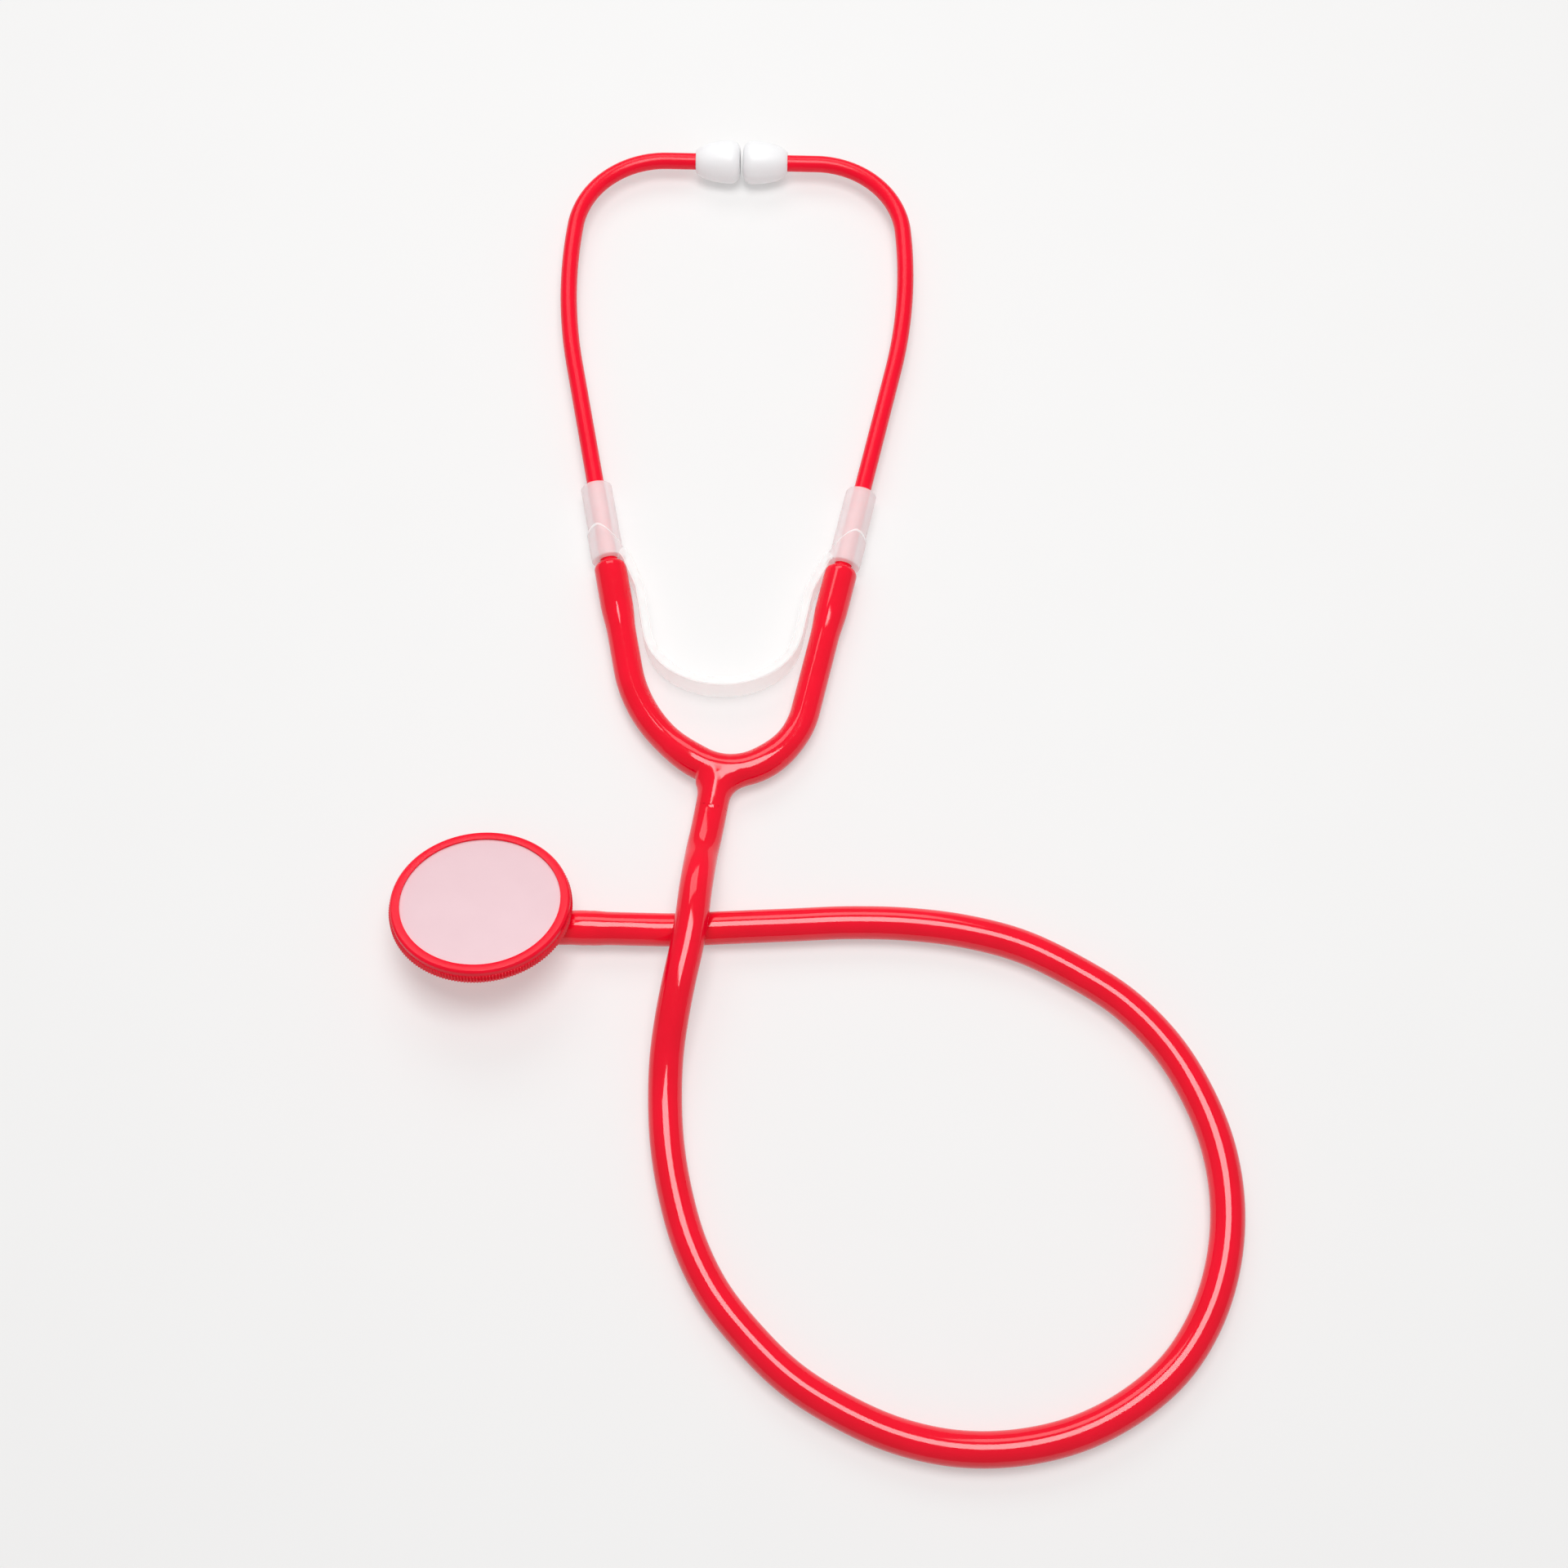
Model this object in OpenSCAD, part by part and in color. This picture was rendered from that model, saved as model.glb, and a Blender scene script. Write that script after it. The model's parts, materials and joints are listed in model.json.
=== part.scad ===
// Toy stethoscope lying on a table, seen from above: ear tips at +Y, chestpiece at -X, table at Z = 0.
// The origin is on the table, under the middle of everything but the free hose.

/* [Fork and arms] */
// Outer diameter of the two arms at their roots and where they hold the ear tubes
arm_d = 8.6; // [8:0.1:9.2]
// Outer diameter of the two arms between their roots and the ear tubes
waist_d = 7.6; // [7:0.1:8]
// Diameter of the sound passage through the hose, the fork and the arms
passage_d = 4; // [2.6:0.1:4.4]
// Distance from the centre line to the right, to where the two arms meet
meet_x = 3; // [1:0.1:4]
// Distance from where the arms meet to the bend line of each arm
root_run = 8.2; // [7.8:0.1:9]
// Angle between each arm's root and the centre line, in degrees
root_angle = 63; // [59:0.5:65]
// Angle between the straight top of each arm and the centre line, in degrees
side_angle = 12; // [10:0.5:14]
// Distance from the centre line to the middle of each arm's top
arm_reach = 30.8; // [30:0.1:33]
// Distance along the centre line from the neck's top to each arm's top
arm_rise = 60.2; // [58:0.2:62]
// Radius of the rounded top edge of each arm
arm_round = 1.8; // [0.6:0.1:1.9]
// Length of the fork's neck, down to the hose
neck_len = 9; // [8:0.5:12]
// Lean of the neck to the left of the centre line, in degrees
neck_lean = 8; // [0:1:14]

/* [Ear tubes] */
// Outer diameter of the two ear tubes
tube_d = 4.6; // [4:0.1:5.2]
// Bore of the two ear tubes
tube_bore = 2.8; // [1.8:0.1:3.2]
// Length of each ear tube that is pushed into its arm
tube_seat = 12; // [8:0.5:18]
// Straight length of each ear tube above its arm
tube_run = 62.4; // [56:0.4:70]
// Radius of the gentle bow in the middle of each ear tube
tube_bow_r = 146; // [120:2:170]
// Inward lean of each ear tube where its bow ends, in degrees
tube_lean = 6; // [2:1:10]
// Radius of the tight bend at the top of each ear tube
tube_bend_r = 25; // [21:0.5:27]

/* [Ear tips] */
// Largest diameter of each ear tip
tip_d = 12; // [10.5:0.5:14]
// Length of each ear tip
tip_len = 12.7; // [11.5:0.1:15]
// Diameter of the hole in each ear tip's rounded end
tip_mouth_d = 4; // [3:0.1:4.4]
// Depth of the socket that takes the ear tube
tip_seat = 8; // [6:0.5:9]
// Gap between the two ear tips
tips_apart = 0.7; // [0.6:0.1:3]

/* [Sleeves and band] */
// Outer diameter of the two sleeves
sleeve_d = 9.1; // [8:0.1:10]
// Length of each sleeve
sleeve_len = 22.3; // [18:0.5:26]
// Bare length of ear tube between each arm and its sleeve
sleeve_gap = 0.9; // [0.4:0.1:3]
// Thickness of the tension band
band_t = 2.4; // [1.8:0.1:2.6]
// Height of the tension band
band_h = 8.5; // [6:0.1:8.8]
// Distance from the neck's top to the middle of the band's bottom
band_rise = 25.2; // [23:0.2:27]
// Gap between each arm and the top of the band's leg beside it
band_gap = 1.2; // [0.9:0.1:1.6]
// Angle from the centre line at which the band's bottom turns into its corners
band_bow_angle = 60; // [57:1:63]
// Radius of the band's two corners
band_corner_r = 16; // [14.5:0.5:17]
// Outward lean of the band's legs, in degrees
band_lean = 11; // [9:0.5:11.5]
// Straight length of the band's legs
band_leg = 12.5; // [11.5:0.1:13]
// Radius of the two bends above each leg
band_flare_r = 7; // [6:0.5:8]
// Angle at which each leg turns out, in degrees
band_flare = 24; // [22:1:26]
// Straight length above each leg
band_flare_run = 8; // [7.6:0.1:8.6]
// Angle at which each leg meets its sleeve, in degrees
band_hook = 50; // [46:1:56]

/* [Hose] */
// Outer diameter of the hose
hose_d = 8.3; // [7.2:0.1:9]
// Gap between the two stretches where the hose crosses itself
hose_gap = 0.3; // [0.3:0.1:1]
// Outer diameter of the hose end, swollen by the stem inside it
cuff_d = 8.8; // [8.4:0.1:9.4]
// Length of the hose end
cuff_len = 20.2; // [17:0.2:22]

/* [Chestpiece] */
// Distance from the neck's top to the chestpiece's middle, towards -X
chest_left = 56.6; // [52:0.2:60]
// Distance from the neck's top to the stem's axis, towards -Y
chest_down = 41.2; // [40:0.2:43]
// Roll of the chestpiece about its stem as it lies, in degrees
chest_roll = 19.5; // [0:0.5:22]
// Outer diameter of the diaphragm ring over its ribs
ring_d = 45; // [42:0.5:50]
// Height of the diaphragm ring
ring_h = 4; // [3.4:0.1:4.6]
// Number of ribs round the diaphragm ring
rib_count = 180; // [120:10:200]
// Depth of the ribs
rib_deep = 0.4; // [0.2:0.05:0.5]
// Thickness of the diaphragm ring's wall inside its ribs
ring_wall = 1.2; // [0.9:0.1:1.6]
// Thickness of the ring's lip over the diaphragm
lip_t = 0.6; // [0.4:0.1:0.9]
// Width of the lip over the diaphragm's edge
lip_w = 0.7; // [0.6:0.1:1.6]
// Thickness of the diaphragm
film_t = 0.5; // [0.3:0.1:0.7]
// Height of the diaphragm's face above the stem's axis
face_h = 9.5; // [9.2:0.1:11]
// Depth of the hollow behind the diaphragm
bell_deep = 2.2; // [1.4:0.1:2.4]
// Outer diameter of the boss that holds the stem
boss_d = 8; // [7.4:0.1:8.6]
// Distance from the chestpiece's middle to the end of the boss
boss_reach = 13; // [11:0.5:14]

/* [Stem] */
// Diameter of the stem between its barbs
stem_d = 5.2; // [4.4:0.1:5.6]
// Diameter of the stem's barbs
barb_d = 6.2; // [5.8:0.1:6.6]
// Bore of the stem
stem_bore = 2.8; // [1.8:0.1:3]
// Length of the stem that stands out of the boss
stem_out = 17.5; // [15:0.5:18.5]
// Length of the stem that sits in the boss
stem_in = 7.5; // [5:0.5:8]
// Number of barbs along the stem
barb_count = 3; // [2:1:4]

/* [Fits] */
// Radial clearance between pieces that turn or slide in each other
turn_gap = 0.05; // [0.03:0.01:0.1]
// Gap between pieces that only pass each other
pass_gap = 0.3; // [0.2:0.05:0.5]

/* [Hidden] */
$fn = 96;

// Colours
red = [0.9, 0.05, 0.12];
deep_red = [0.75, 0.03, 0.08];
milky = [0.93, 0.9, 0.9];
pale_pink = [0.95, 0.83, 0.85];
white = [0.97, 0.97, 0.98];

// Overrun of cuts past the faces that they open
cut = 1;
// Each bend laps into its straight neighbours and is thinner by a hair, so that a tube is one solid.
// The ribs' valleys stand a hair proud of the ring that they are on.
lap = 0.4;
hair = 0.02;
// Size of the balls that round off rods, as a share of the rod's diameter
ball_share = 1.05;

// Places in the headset's plane, from the neck's top: each run goes forward along an angle
// from the centre line, and each turn bends from one angle to another, inwards or outwards.
function forward(p, run, angle) = p + run * [sin(angle), cos(angle)];
function turned(p, r, from, to) = p + r * [cos(to) - cos(from), sin(from) - sin(to)];
function turned_out(p, r, from, to) = p + r * [cos(from) - cos(to), sin(to) - sin(from)];

neck_top = [0, 0];
arm_top = [arm_reach, arm_rise];
// The arms meet right of the centre line and end symmetrically, so each one has a bend of its own
function meeting(left) = [left ? -meet_x : meet_x, 0];
function pivot(left) = forward(meeting(left), root_run, root_angle);
// How far right a place is of the line that goes along the side angle from the neck's top
function off_side(p) = p[0] * cos(side_angle) - p[1] * sin(side_angle);
function bend_r(left) = off_side(arm_top - pivot(left)) / (1 - cos(root_angle - side_angle));
function bend_end(left) = turned(pivot(left), bend_r(left), root_angle, side_angle);
function top_run(left) = norm(arm_top - bend_end(left));
pivot_y = pivot(true)[1];
sleeve_foot = forward(arm_top, sleeve_gap, side_angle);
tube_foot = forward(arm_top, -tube_seat, side_angle);
run_end = forward(arm_top, tube_run, side_angle);
bow_end = turned(run_end, tube_bow_r, side_angle, -tube_lean);
crown = turned(bow_end, tube_bend_r, -tube_lean, -90);
tip_face_x = tips_apart / 2;
tip_base_x = tip_face_x + tip_len;
tube_end_x = tip_base_x - tip_seat;
tube_widest = turned(run_end, tube_bow_r, side_angle, 0)[0];
// The band's bottom gets the radius that brings the tops of its legs beside the arms
band_foot = [0, band_rise];
band_rest = forward(turned(neck_top, band_corner_r, band_bow_angle, band_lean), band_leg, band_lean);
band_reach = off_side(arm_top - band_foot - band_rest) - (arm_d + band_t) / 2 - band_gap;
band_bow_r = band_reach / off_side([cos(band_bow_angle), 1 - sin(band_bow_angle)]);

// Heights: the fork, the hose end and the chestpiece's back rest on the table, and so do the ear tips
ball_d = ball_share * arm_d;
axis_z = max(ball_d, hose_d, cuff_d, boss_d) / 2;
side_tilt = asin((tip_d / 2 - axis_z) / (crown[1] - pivot_y));
socket_d = tube_d + 2 * turn_gap;

// Chestpiece: radii and heights above the stem's axis
ring_r = ring_d / 2;
thread_bore_r = ring_r - rib_deep - ring_wall;
thread_r = thread_bore_r - 2 * turn_gap;
ledge_w = ring_wall / 3;
groove_r = thread_bore_r - ledge_w;
film_r = groove_r - 2 * turn_gap;
ledge_r = film_r - ledge_w;
rim_r = ledge_r - 2 * turn_gap;
face_r = film_r - lip_w;
film_foot = face_h - film_t;
seat_z = film_foot - turn_gap;
ledge_foot = seat_z - ledge_w;
shoulder_z = ledge_foot - 2 * turn_gap;
ring_top = face_h + turn_gap + lip_t;
ring_foot = ring_top - ring_h;
rib_top = ring_foot + 0.58 * ring_h;
plate_foot = axis_z + 2 * pass_gap;
stem_tip = boss_reach + stem_out;
cuff_foot = boss_reach + pass_gap;
cuff_start = cuff_foot + cuff_len;
cuff_bore_d = barb_d + 2 * turn_gap;

// The neck's top, placed so that the origin is under the middle of everything but the hose
roll_y = ring_r * cos(chest_roll) - ring_foot * sin(chest_roll);
fork_x = (chest_left + ring_r - tube_widest - tube_d / 2) / 2;
fork_y = (chest_down + roll_y - crown[1] - tip_d / 2) / 2;

// Route of the hose from the neck's top, each point with its share of the lift over the crossing
hose_route = [
    [-3, -21, 0.26], [-3.5, -27, 0.64], [-4, -33, 0.88], [-4.5, -40, 1],
    [-5.5, -48, 0.97], [-7, -56, 0.85], [-8.5, -65, 0.59], [-9.5, -74, 0.25],
    [-9.5, -84, 0.05], [-8.5, -95, 0], [-6, -107, 0], [-2, -119, 0],
    [4, -130, 0], [12.5, -140, 0], [22.5, -149, 0], [34.5, -156, 0],
    [47, -161, 0], [60.5, -163.5, 0], [74.5, -163, 0], [88.5, -159.5, 0],
    [101, -153, 0], [111.5, -144, 0], [119, -132.5, 0], [123.5, -119.5, 0],
    [125, -106, 0], [123.5, -92.5, 0], [119, -79.5, 0], [112, -67.5, 0],
    [102, -57, 0], [90.5, -49.5, 0], [77, -43, 0], [63, -39.5, 0],
    [48.5, -38, 0], [34, -38, 0], [19.5, -39, 0], [5, -40, 0], [-9, -41, 0]
];
first_lift = 0.065;
end_run = 6;
hose_sides = 12;

// A point on the fork's neck, and the hose's whole route with both ends lying on the pieces it joins
function on_neck(run) = [-run * sin(neck_lean), -run * cos(neck_lean)];
function lifted(share) = hose_d / 2 + share * (hose_d + hose_gap);
function hose_points() = concat(
    [[on_neck(neck_len)[0], on_neck(neck_len)[1], axis_z]],
    [[on_neck(neck_len + end_run)[0], on_neck(neck_len + end_run)[1],
        lifted(first_lift) + axis_z - hose_d / 2]],
    [for (p = hose_route) [p[0], p[1], lifted(p[2])]],
    [[cuff_start - chest_left + end_run, -chest_down, axis_z]],
    [[cuff_start - chest_left, -chest_down, axis_z]]
);

function unit(v) = v / norm(v);
// Direction of the hose at one of its points; its ends look straight at the neck and the hose end
function heading(points, i) =
    i == 0 ? [-sin(neck_lean), -cos(neck_lean), 0] :
    i == len(points) - 1 ? [-1, 0, 0] :
    unit(unit(points[i + 1] - points[i]) + unit(points[i] - points[i - 1]));
// One ring of the hose: points round it at one of the route's points
function hose_ring(points, i, r) =
    let (ahead = heading(points, i))
    let (side = unit(cross(ahead, [0, 0, 1])))
    let (over = cross(side, ahead))
    [for (k = [0 : hose_sides - 1])
        points[i] + r * (cos(360 * k / hose_sides) * side + sin(360 * k / hose_sides) * over)];

// Straight and bent round bars in the headset's plane
module rod(p, run, angle, d) {
    translate([p[0], p[1], 0])
        rotate([0, 0, -angle])
            rotate([-90, 0, 0])
                cylinder(d = d, h = run);
}

module bent_rod(p, r, from, to, d, step = 1) {
    more = lap / r * 180 / PI;
    translate([p[0] - r * cos(from), p[1] + r * sin(from), 0])
        rotate([0, 0, -from - more])
            rotate_extrude(angle = from - to + 2 * more)
                translate([r, 0])
                    circle(d = d - 2 * step * hair);
}

// A ball in the headset's plane, with its poles along an angle
module ball(p, angle, d) {
    translate([p[0], p[1], 0])
        rotate([0, 0, -angle])
            rotate([-90, 0, 0])
                sphere(d = d);
}

// Frames: the fork's level plane, the headset's plane that rises to the ear tips, and the chestpiece
module at_fork() {
    translate([fork_x, fork_y, axis_z])
        children();
}

module in_headset() {
    at_fork()
        translate([0, pivot_y, 0])
            rotate([side_tilt, 0, 0])
                translate([0, -pivot_y, 0])
                    children();
}

module mirrored_if(left) {
    if (left) {
        mirror([1, 0, 0])
            children();
    } else {
        children();
    }
}

module in_chestpiece() {
    translate([fork_x - chest_left, fork_y - chest_down, axis_z])
        rotate([-chest_roll, 0, 0])
            children();
}

// Fork: a short neck and two stubs, each ending in a round hollow where its arm bends
module fork() {
    neck_angle = 180 + neck_lean;
    color(red)
        at_fork()
            difference() {
                union() {
                    ball(neck_top, neck_angle, ball_share * hose_d);
                    rod(neck_top, neck_len, neck_angle, hose_d);
                    ball(meeting(false), root_angle, ball_d);
                    rod(meeting(false), root_run, root_angle, arm_d);
                    rod(meeting(false), root_run, -root_angle, arm_d);
                }
                for (left = [true, false])
                    mirrored_if(left)
                        ball(pivot(left), root_angle, ball_d + 2 * pass_gap);
                rod(neck_top, neck_len + cut, neck_angle, passage_d);
                ball(neck_top, neck_angle, ball_share * passage_d);
                ball(meeting(false), root_angle, ball_share * passage_d);
                rod(meeting(false), root_run, root_angle, passage_d);
                rod(meeting(false), root_run, -root_angle, passage_d);
            }
}

// Arm: a round root, one bend and a straight top that swells to hold the ear tube in its socket
module arm(left) {
    socket_run = tube_seat + turn_gap;
    swell_top = top_run(left) - tube_seat;
    round_foot = top_run(left) - arm_round;
    swell = [for (a = [0 : 15 : 180])
        [waist_d / 2 + (arm_d - waist_d) * (1 - cos(a)) / 4, swell_top - (180 - a) / 180 * arm_d]];
    rounding = [for (a = [0 : 15 : 90])
        [arm_d / 2 - arm_round * (1 - cos(a)), round_foot + arm_round * sin(a)]];
    color(red)
        in_headset()
            mirrored_if(left)
                difference() {
                    union() {
                        ball(pivot(left), root_angle, ball_d);
                        bent_rod(pivot(left), bend_r(left), root_angle, side_angle, waist_d);
                        translate([bend_end(left)[0], bend_end(left)[1], 0])
                            rotate([0, 0, -side_angle])
                                rotate([-90, 0, 0])
                                    rotate_extrude()
                                        polygon(concat(
                                            [[0, 0], [waist_d / 2, 0]], swell, rounding,
                                            [[0, top_run(left)]]
                                        ));
                    }
                    rod(forward(pivot(left), -ball_d, root_angle), ball_d, root_angle, passage_d);
                    bent_rod(pivot(left), bend_r(left), root_angle, side_angle, passage_d);
                    rod(bend_end(left), top_run(left), side_angle, passage_d);
                    rod(forward(arm_top, -socket_run, side_angle), socket_run + cut, side_angle, socket_d);
                }
}

module sleeve(left) {
    color(milky)
        in_headset()
            mirrored_if(left)
                difference() {
                    rod(sleeve_foot, sleeve_len, side_angle, sleeve_d);
                    rod(forward(sleeve_foot, -cut, side_angle), sleeve_len + 2 * cut, side_angle, socket_d);
                }
}

// Band: a flat strip on edge from sleeve to sleeve, kept clear of the sleeves and of the arms beside it.
// Each station on its middle line is a place and a heading; a bend has one at each of its steps.
function stops(from, to, steps) = [for (i = [1 : steps]) from + (to - from) * i / steps];
function band_side(stations, side) =
    [for (s = stations) s[0] + side * band_t / 2 * [cos(s[1]), -sin(s[1])]];
function backwards(list) = [for (i = [len(list) - 1 : -1 : 0]) list[i]];

module tension_band() {
    widest_d = max(arm_d, sleeve_d);
    bow_top = turned(band_foot, band_bow_r, 90, band_bow_angle);
    corner_top = turned(bow_top, band_corner_r, band_bow_angle, band_lean);
    leg_top = forward(corner_top, band_leg, band_lean);
    flare_foot = turned_out(leg_top, band_flare_r, band_lean, band_flare);
    flare_top = forward(flare_foot, band_flare_run, band_flare);
    hook_foot = turned_out(flare_top, band_flare_r, band_flare, band_hook);
    hook_run = off_side(sleeve_foot - hook_foot) / sin(band_hook - side_angle);
    right = concat(
        [for (a = stops(90, band_bow_angle, 8)) [turned(band_foot, band_bow_r, 90, a), a]],
        [for (a = stops(band_bow_angle, band_lean, 6)) [turned(bow_top, band_corner_r, band_bow_angle, a), a]],
        [[leg_top, band_lean]],
        [for (a = stops(band_lean, band_flare, 3)) [turned_out(leg_top, band_flare_r, band_lean, a), a]],
        [[flare_top, band_flare]],
        [for (a = stops(band_flare, band_hook, 4)) [turned_out(flare_top, band_flare_r, band_flare, a), a]],
        [[forward(hook_foot, hook_run, band_hook), band_hook]]
    );
    left = [for (s = right) [[-s[0][0], s[0][1]], 180 - s[1]]];
    stations = concat(backwards(left), [[band_foot, 90]], right);
    color(milky)
        in_headset()
            difference() {
                translate([0, 0, -band_h / 2])
                    linear_extrude(band_h)
                        polygon(concat(band_side(stations, 1), backwards(band_side(stations, -1))));
                for (left = [true, false])
                    mirrored_if(left)
                        rod(forward(arm_top, -tube_seat, side_angle), tube_seat + sleeve_gap + sleeve_len,
                            side_angle, widest_d + 2 * pass_gap);
            }
}

// Ear tube: straight from its seat in the arm, bowed gently in, then bent across to the ear tip
module ear_tube(left) {
    straight = tube_seat + tube_run;
    across = crown[0] - tube_end_x;
    color(red)
        in_headset()
            mirrored_if(left)
                difference() {
                    union() {
                        rod(tube_foot, straight, side_angle, tube_d);
                        bent_rod(run_end, tube_bow_r, side_angle, -tube_lean, tube_d);
                        bent_rod(bow_end, tube_bend_r, -tube_lean, -90, tube_d, 2);
                        rod(crown, across, -90, tube_d);
                    }
                    rod(forward(tube_foot, -cut, side_angle), straight + cut, side_angle, tube_bore);
                    bent_rod(run_end, tube_bow_r, side_angle, -tube_lean, tube_bore);
                    bent_rod(bow_end, tube_bend_r, -tube_lean, -90, tube_bore, 2);
                    rod(crown, across + cut, -90, tube_bore);
                }
}

// Ear tip: a soft bell, narrow at the tube, widest near its rounded end. Its outline is given as
// shares of its length, from the tube, and of its largest radius.
tip_shares = [
    [0, 0.5], [0.05, 0.6], [0.15, 0.74], [0.3, 0.86], [0.45, 0.93], [0.6, 0.98], [0.74, 1],
    [0.84, 0.98], [0.91, 0.91], [0.96, 0.8], [0.99, 0.66], [1, 0.54]
];

module ear_tip(left) {
    outline = [for (s = tip_shares) [s[1] * tip_d / 2, s[0] * tip_len]];
    color(white)
        in_headset()
            mirrored_if(left)
                translate([tip_base_x, crown[1], 0])
                    rotate([0, -90, 0])
                        difference() {
                            rotate_extrude()
                                polygon(concat([[0, 0]], outline, [[0, tip_len]]));
                            translate([0, 0, -cut])
                                cylinder(d = socket_d, h = tip_seat + turn_gap + cut);
                            cylinder(d = tip_mouth_d, h = tip_len + cut);
                        }
}

// Hose: one free length with its bore, swept ring by ring from the fork's neck to the hose end
module hose() {
    points = hose_points();
    last = len(points) - 1;
    n = hose_sides;
    outer = [for (i = [0 : last]) each hose_ring(points, i, hose_d / 2)];
    inner = [for (i = [0 : last]) each hose_ring(points, i, passage_d / 2)];
    bore = len(outer);
    faces = [for (k = [0 : n - 1]) let (m = (k + 1) % n) each [
        for (i = [0 : last - 1]) let (a = i * n + k) let (b = i * n + m) each [
            [a, a + n, b + n], [a, b + n, b],
            [bore + a, bore + b + n, bore + a + n], [bore + a, bore + b, bore + b + n]
        ],
        [k, m, bore + m], [k, bore + m, bore + k],
        [last * n + k, bore + last * n + m, last * n + m],
        [last * n + k, bore + last * n + k, bore + last * n + m]
    ]];
    color(red)
        at_fork()
            translate([0, 0, -axis_z])
                polyhedron(concat(outer, inner), faces);
}

// A round body along the stem's axis: points of its outline as distance from the chestpiece's
// middle and radius
module along_stem(outline) {
    translate([fork_x - chest_left, fork_y - chest_down, axis_z])
        rotate([0, 90, 0])
            rotate_extrude()
                polygon([for (p = outline) [p[1], p[0]]]);
}

// Hose end: the last straight length of the hose, swollen where the barbs sit in it
module hose_end() {
    swell = cuff_start - stem_tip;
    passage_top = stem_tip + turn_gap;
    color(red)
        along_stem([
            [cuff_foot, cuff_bore_d / 2],
            [cuff_foot, cuff_d / 2],
            [stem_tip - swell, cuff_d / 2],
            [stem_tip, hose_d / 2],
            [cuff_start, hose_d / 2],
            [cuff_start, passage_d / 2],
            [passage_top, passage_d / 2],
            [passage_top, cuff_bore_d / 2]
        ]);
}

// Stem: plain in the boss, then a row of barbs, with one bore from end to end
module stem() {
    pitch = (stem_out - pass_gap) / barb_count;
    root = boss_reach + pass_gap;
    barbs = [for (i = [0 : barb_count - 1]) each [
        [root + (i + 0.4) * pitch, stem_d / 2],
        [root + (i + 0.4) * pitch, barb_d / 2],
        [root + (i + 0.6) * pitch, barb_d / 2],
        [root + (i + 1) * pitch, stem_d / 2]
    ]];
    color(deep_red)
        along_stem(concat(
            [[boss_reach - stem_in, stem_bore / 2], [boss_reach - stem_in, stem_d / 2]],
            barbs,
            [[stem_tip, stem_bore / 2]]
        ));
}

// Chest body: a shallow bell on a round hub, with a boss for the stem and a passage for the sound
module chest_body() {
    hub_r = axis_z;
    floor_z = seat_z - bell_deep;
    plate_shares = [[1, 0], [1.12, 0.5], [1.5, 0.84], [2.3, 1]];
    neck = [for (s = plate_shares) [s[0] * hub_r, s[1] * plate_foot]];
    bell_r = rim_r - ledge_w;
    color(deep_red)
        in_chestpiece()
            difference() {
                union() {
                    sphere(r = hub_r);
                    rotate_extrude()
                        polygon(concat([[0, 0]], neck, [
                            [thread_r - ring_wall, ring_foot - turn_gap],
                            [thread_r, ring_foot],
                            [thread_r, shoulder_z],
                            [rim_r, shoulder_z],
                            [rim_r, seat_z],
                            [0, seat_z]
                        ]));
                    rotate([0, 90, 0])
                        cylinder(d = boss_d, h = boss_reach);
                }
                rotate_extrude()
                    polygon([
                        [0, floor_z],
                        [passage_d / 2, floor_z],
                        [bell_r, seat_z - film_t],
                        [bell_r, seat_z + cut],
                        [0, seat_z + cut]
                    ]);
                cylinder(d = passage_d, h = seat_z);
                rotate([0, 90, 0])
                    cylinder(d = passage_d, h = boss_reach);
                translate([boss_reach - stem_in - turn_gap, 0, 0])
                    rotate([0, 90, 0])
                        cylinder(d = stem_d + 2 * turn_gap, h = stem_in + turn_gap + cut);
            }
}

module diaphragm() {
    color(pale_pink)
        in_chestpiece()
            translate([0, 0, film_foot])
                cylinder(r = film_r, h = film_t);
}

// Diaphragm ring: a lip over the diaphragm, a groove that it snaps into, and the thread's bore
module diaphragm_ring() {
    band_r = ring_r - rib_deep;
    groove_top = face_h + turn_gap;
    outline = [for (k = [0 : 2 * rib_count - 1])
        (k % 2 == 0 ? ring_r : band_r + hair) * [cos(180 * k / rib_count), sin(180 * k / rib_count)]];
    color(red)
        in_chestpiece()
            difference() {
                union() {
                    rotate_extrude()
                        polygon([
                            [0, ring_foot],
                            [band_r, ring_foot],
                            [band_r, ring_top - rib_deep],
                            [band_r - rib_deep, ring_top],
                            [0, ring_top]
                        ]);
                    translate([0, 0, ring_foot])
                        linear_extrude(rib_top - ring_foot)
                            polygon(outline);
                }
                translate([0, 0, ring_foot - cut])
                    cylinder(r = face_r, h = ring_h + 2 * cut);
                translate([0, 0, seat_z])
                    cylinder(r = groove_r, h = groove_top - seat_z);
                translate([0, 0, ledge_foot])
                    cylinder(r = ledge_r, h = groove_top - ledge_foot);
                translate([0, 0, ring_foot - cut])
                    cylinder(r = thread_bore_r, h = ledge_foot - ring_foot + cut);
            }
}

fork();
hose();
hose_end();
tension_band();
arm(true);  // left_arm
arm(false);  // right_arm
sleeve(true);  // left_sleeve
sleeve(false);  // right_sleeve
ear_tube(true);  // left_ear_tube
ear_tube(false);  // right_ear_tube
ear_tip(true);  // left_ear_tip
ear_tip(false);  // right_ear_tip
chest_body();
stem();
diaphragm();
diaphragm_ring();
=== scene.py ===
"""Looks of the toy stethoscope: hose, Y tube, headset, ear tips and chestpiece on a pale table."""
import json
import math

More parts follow.
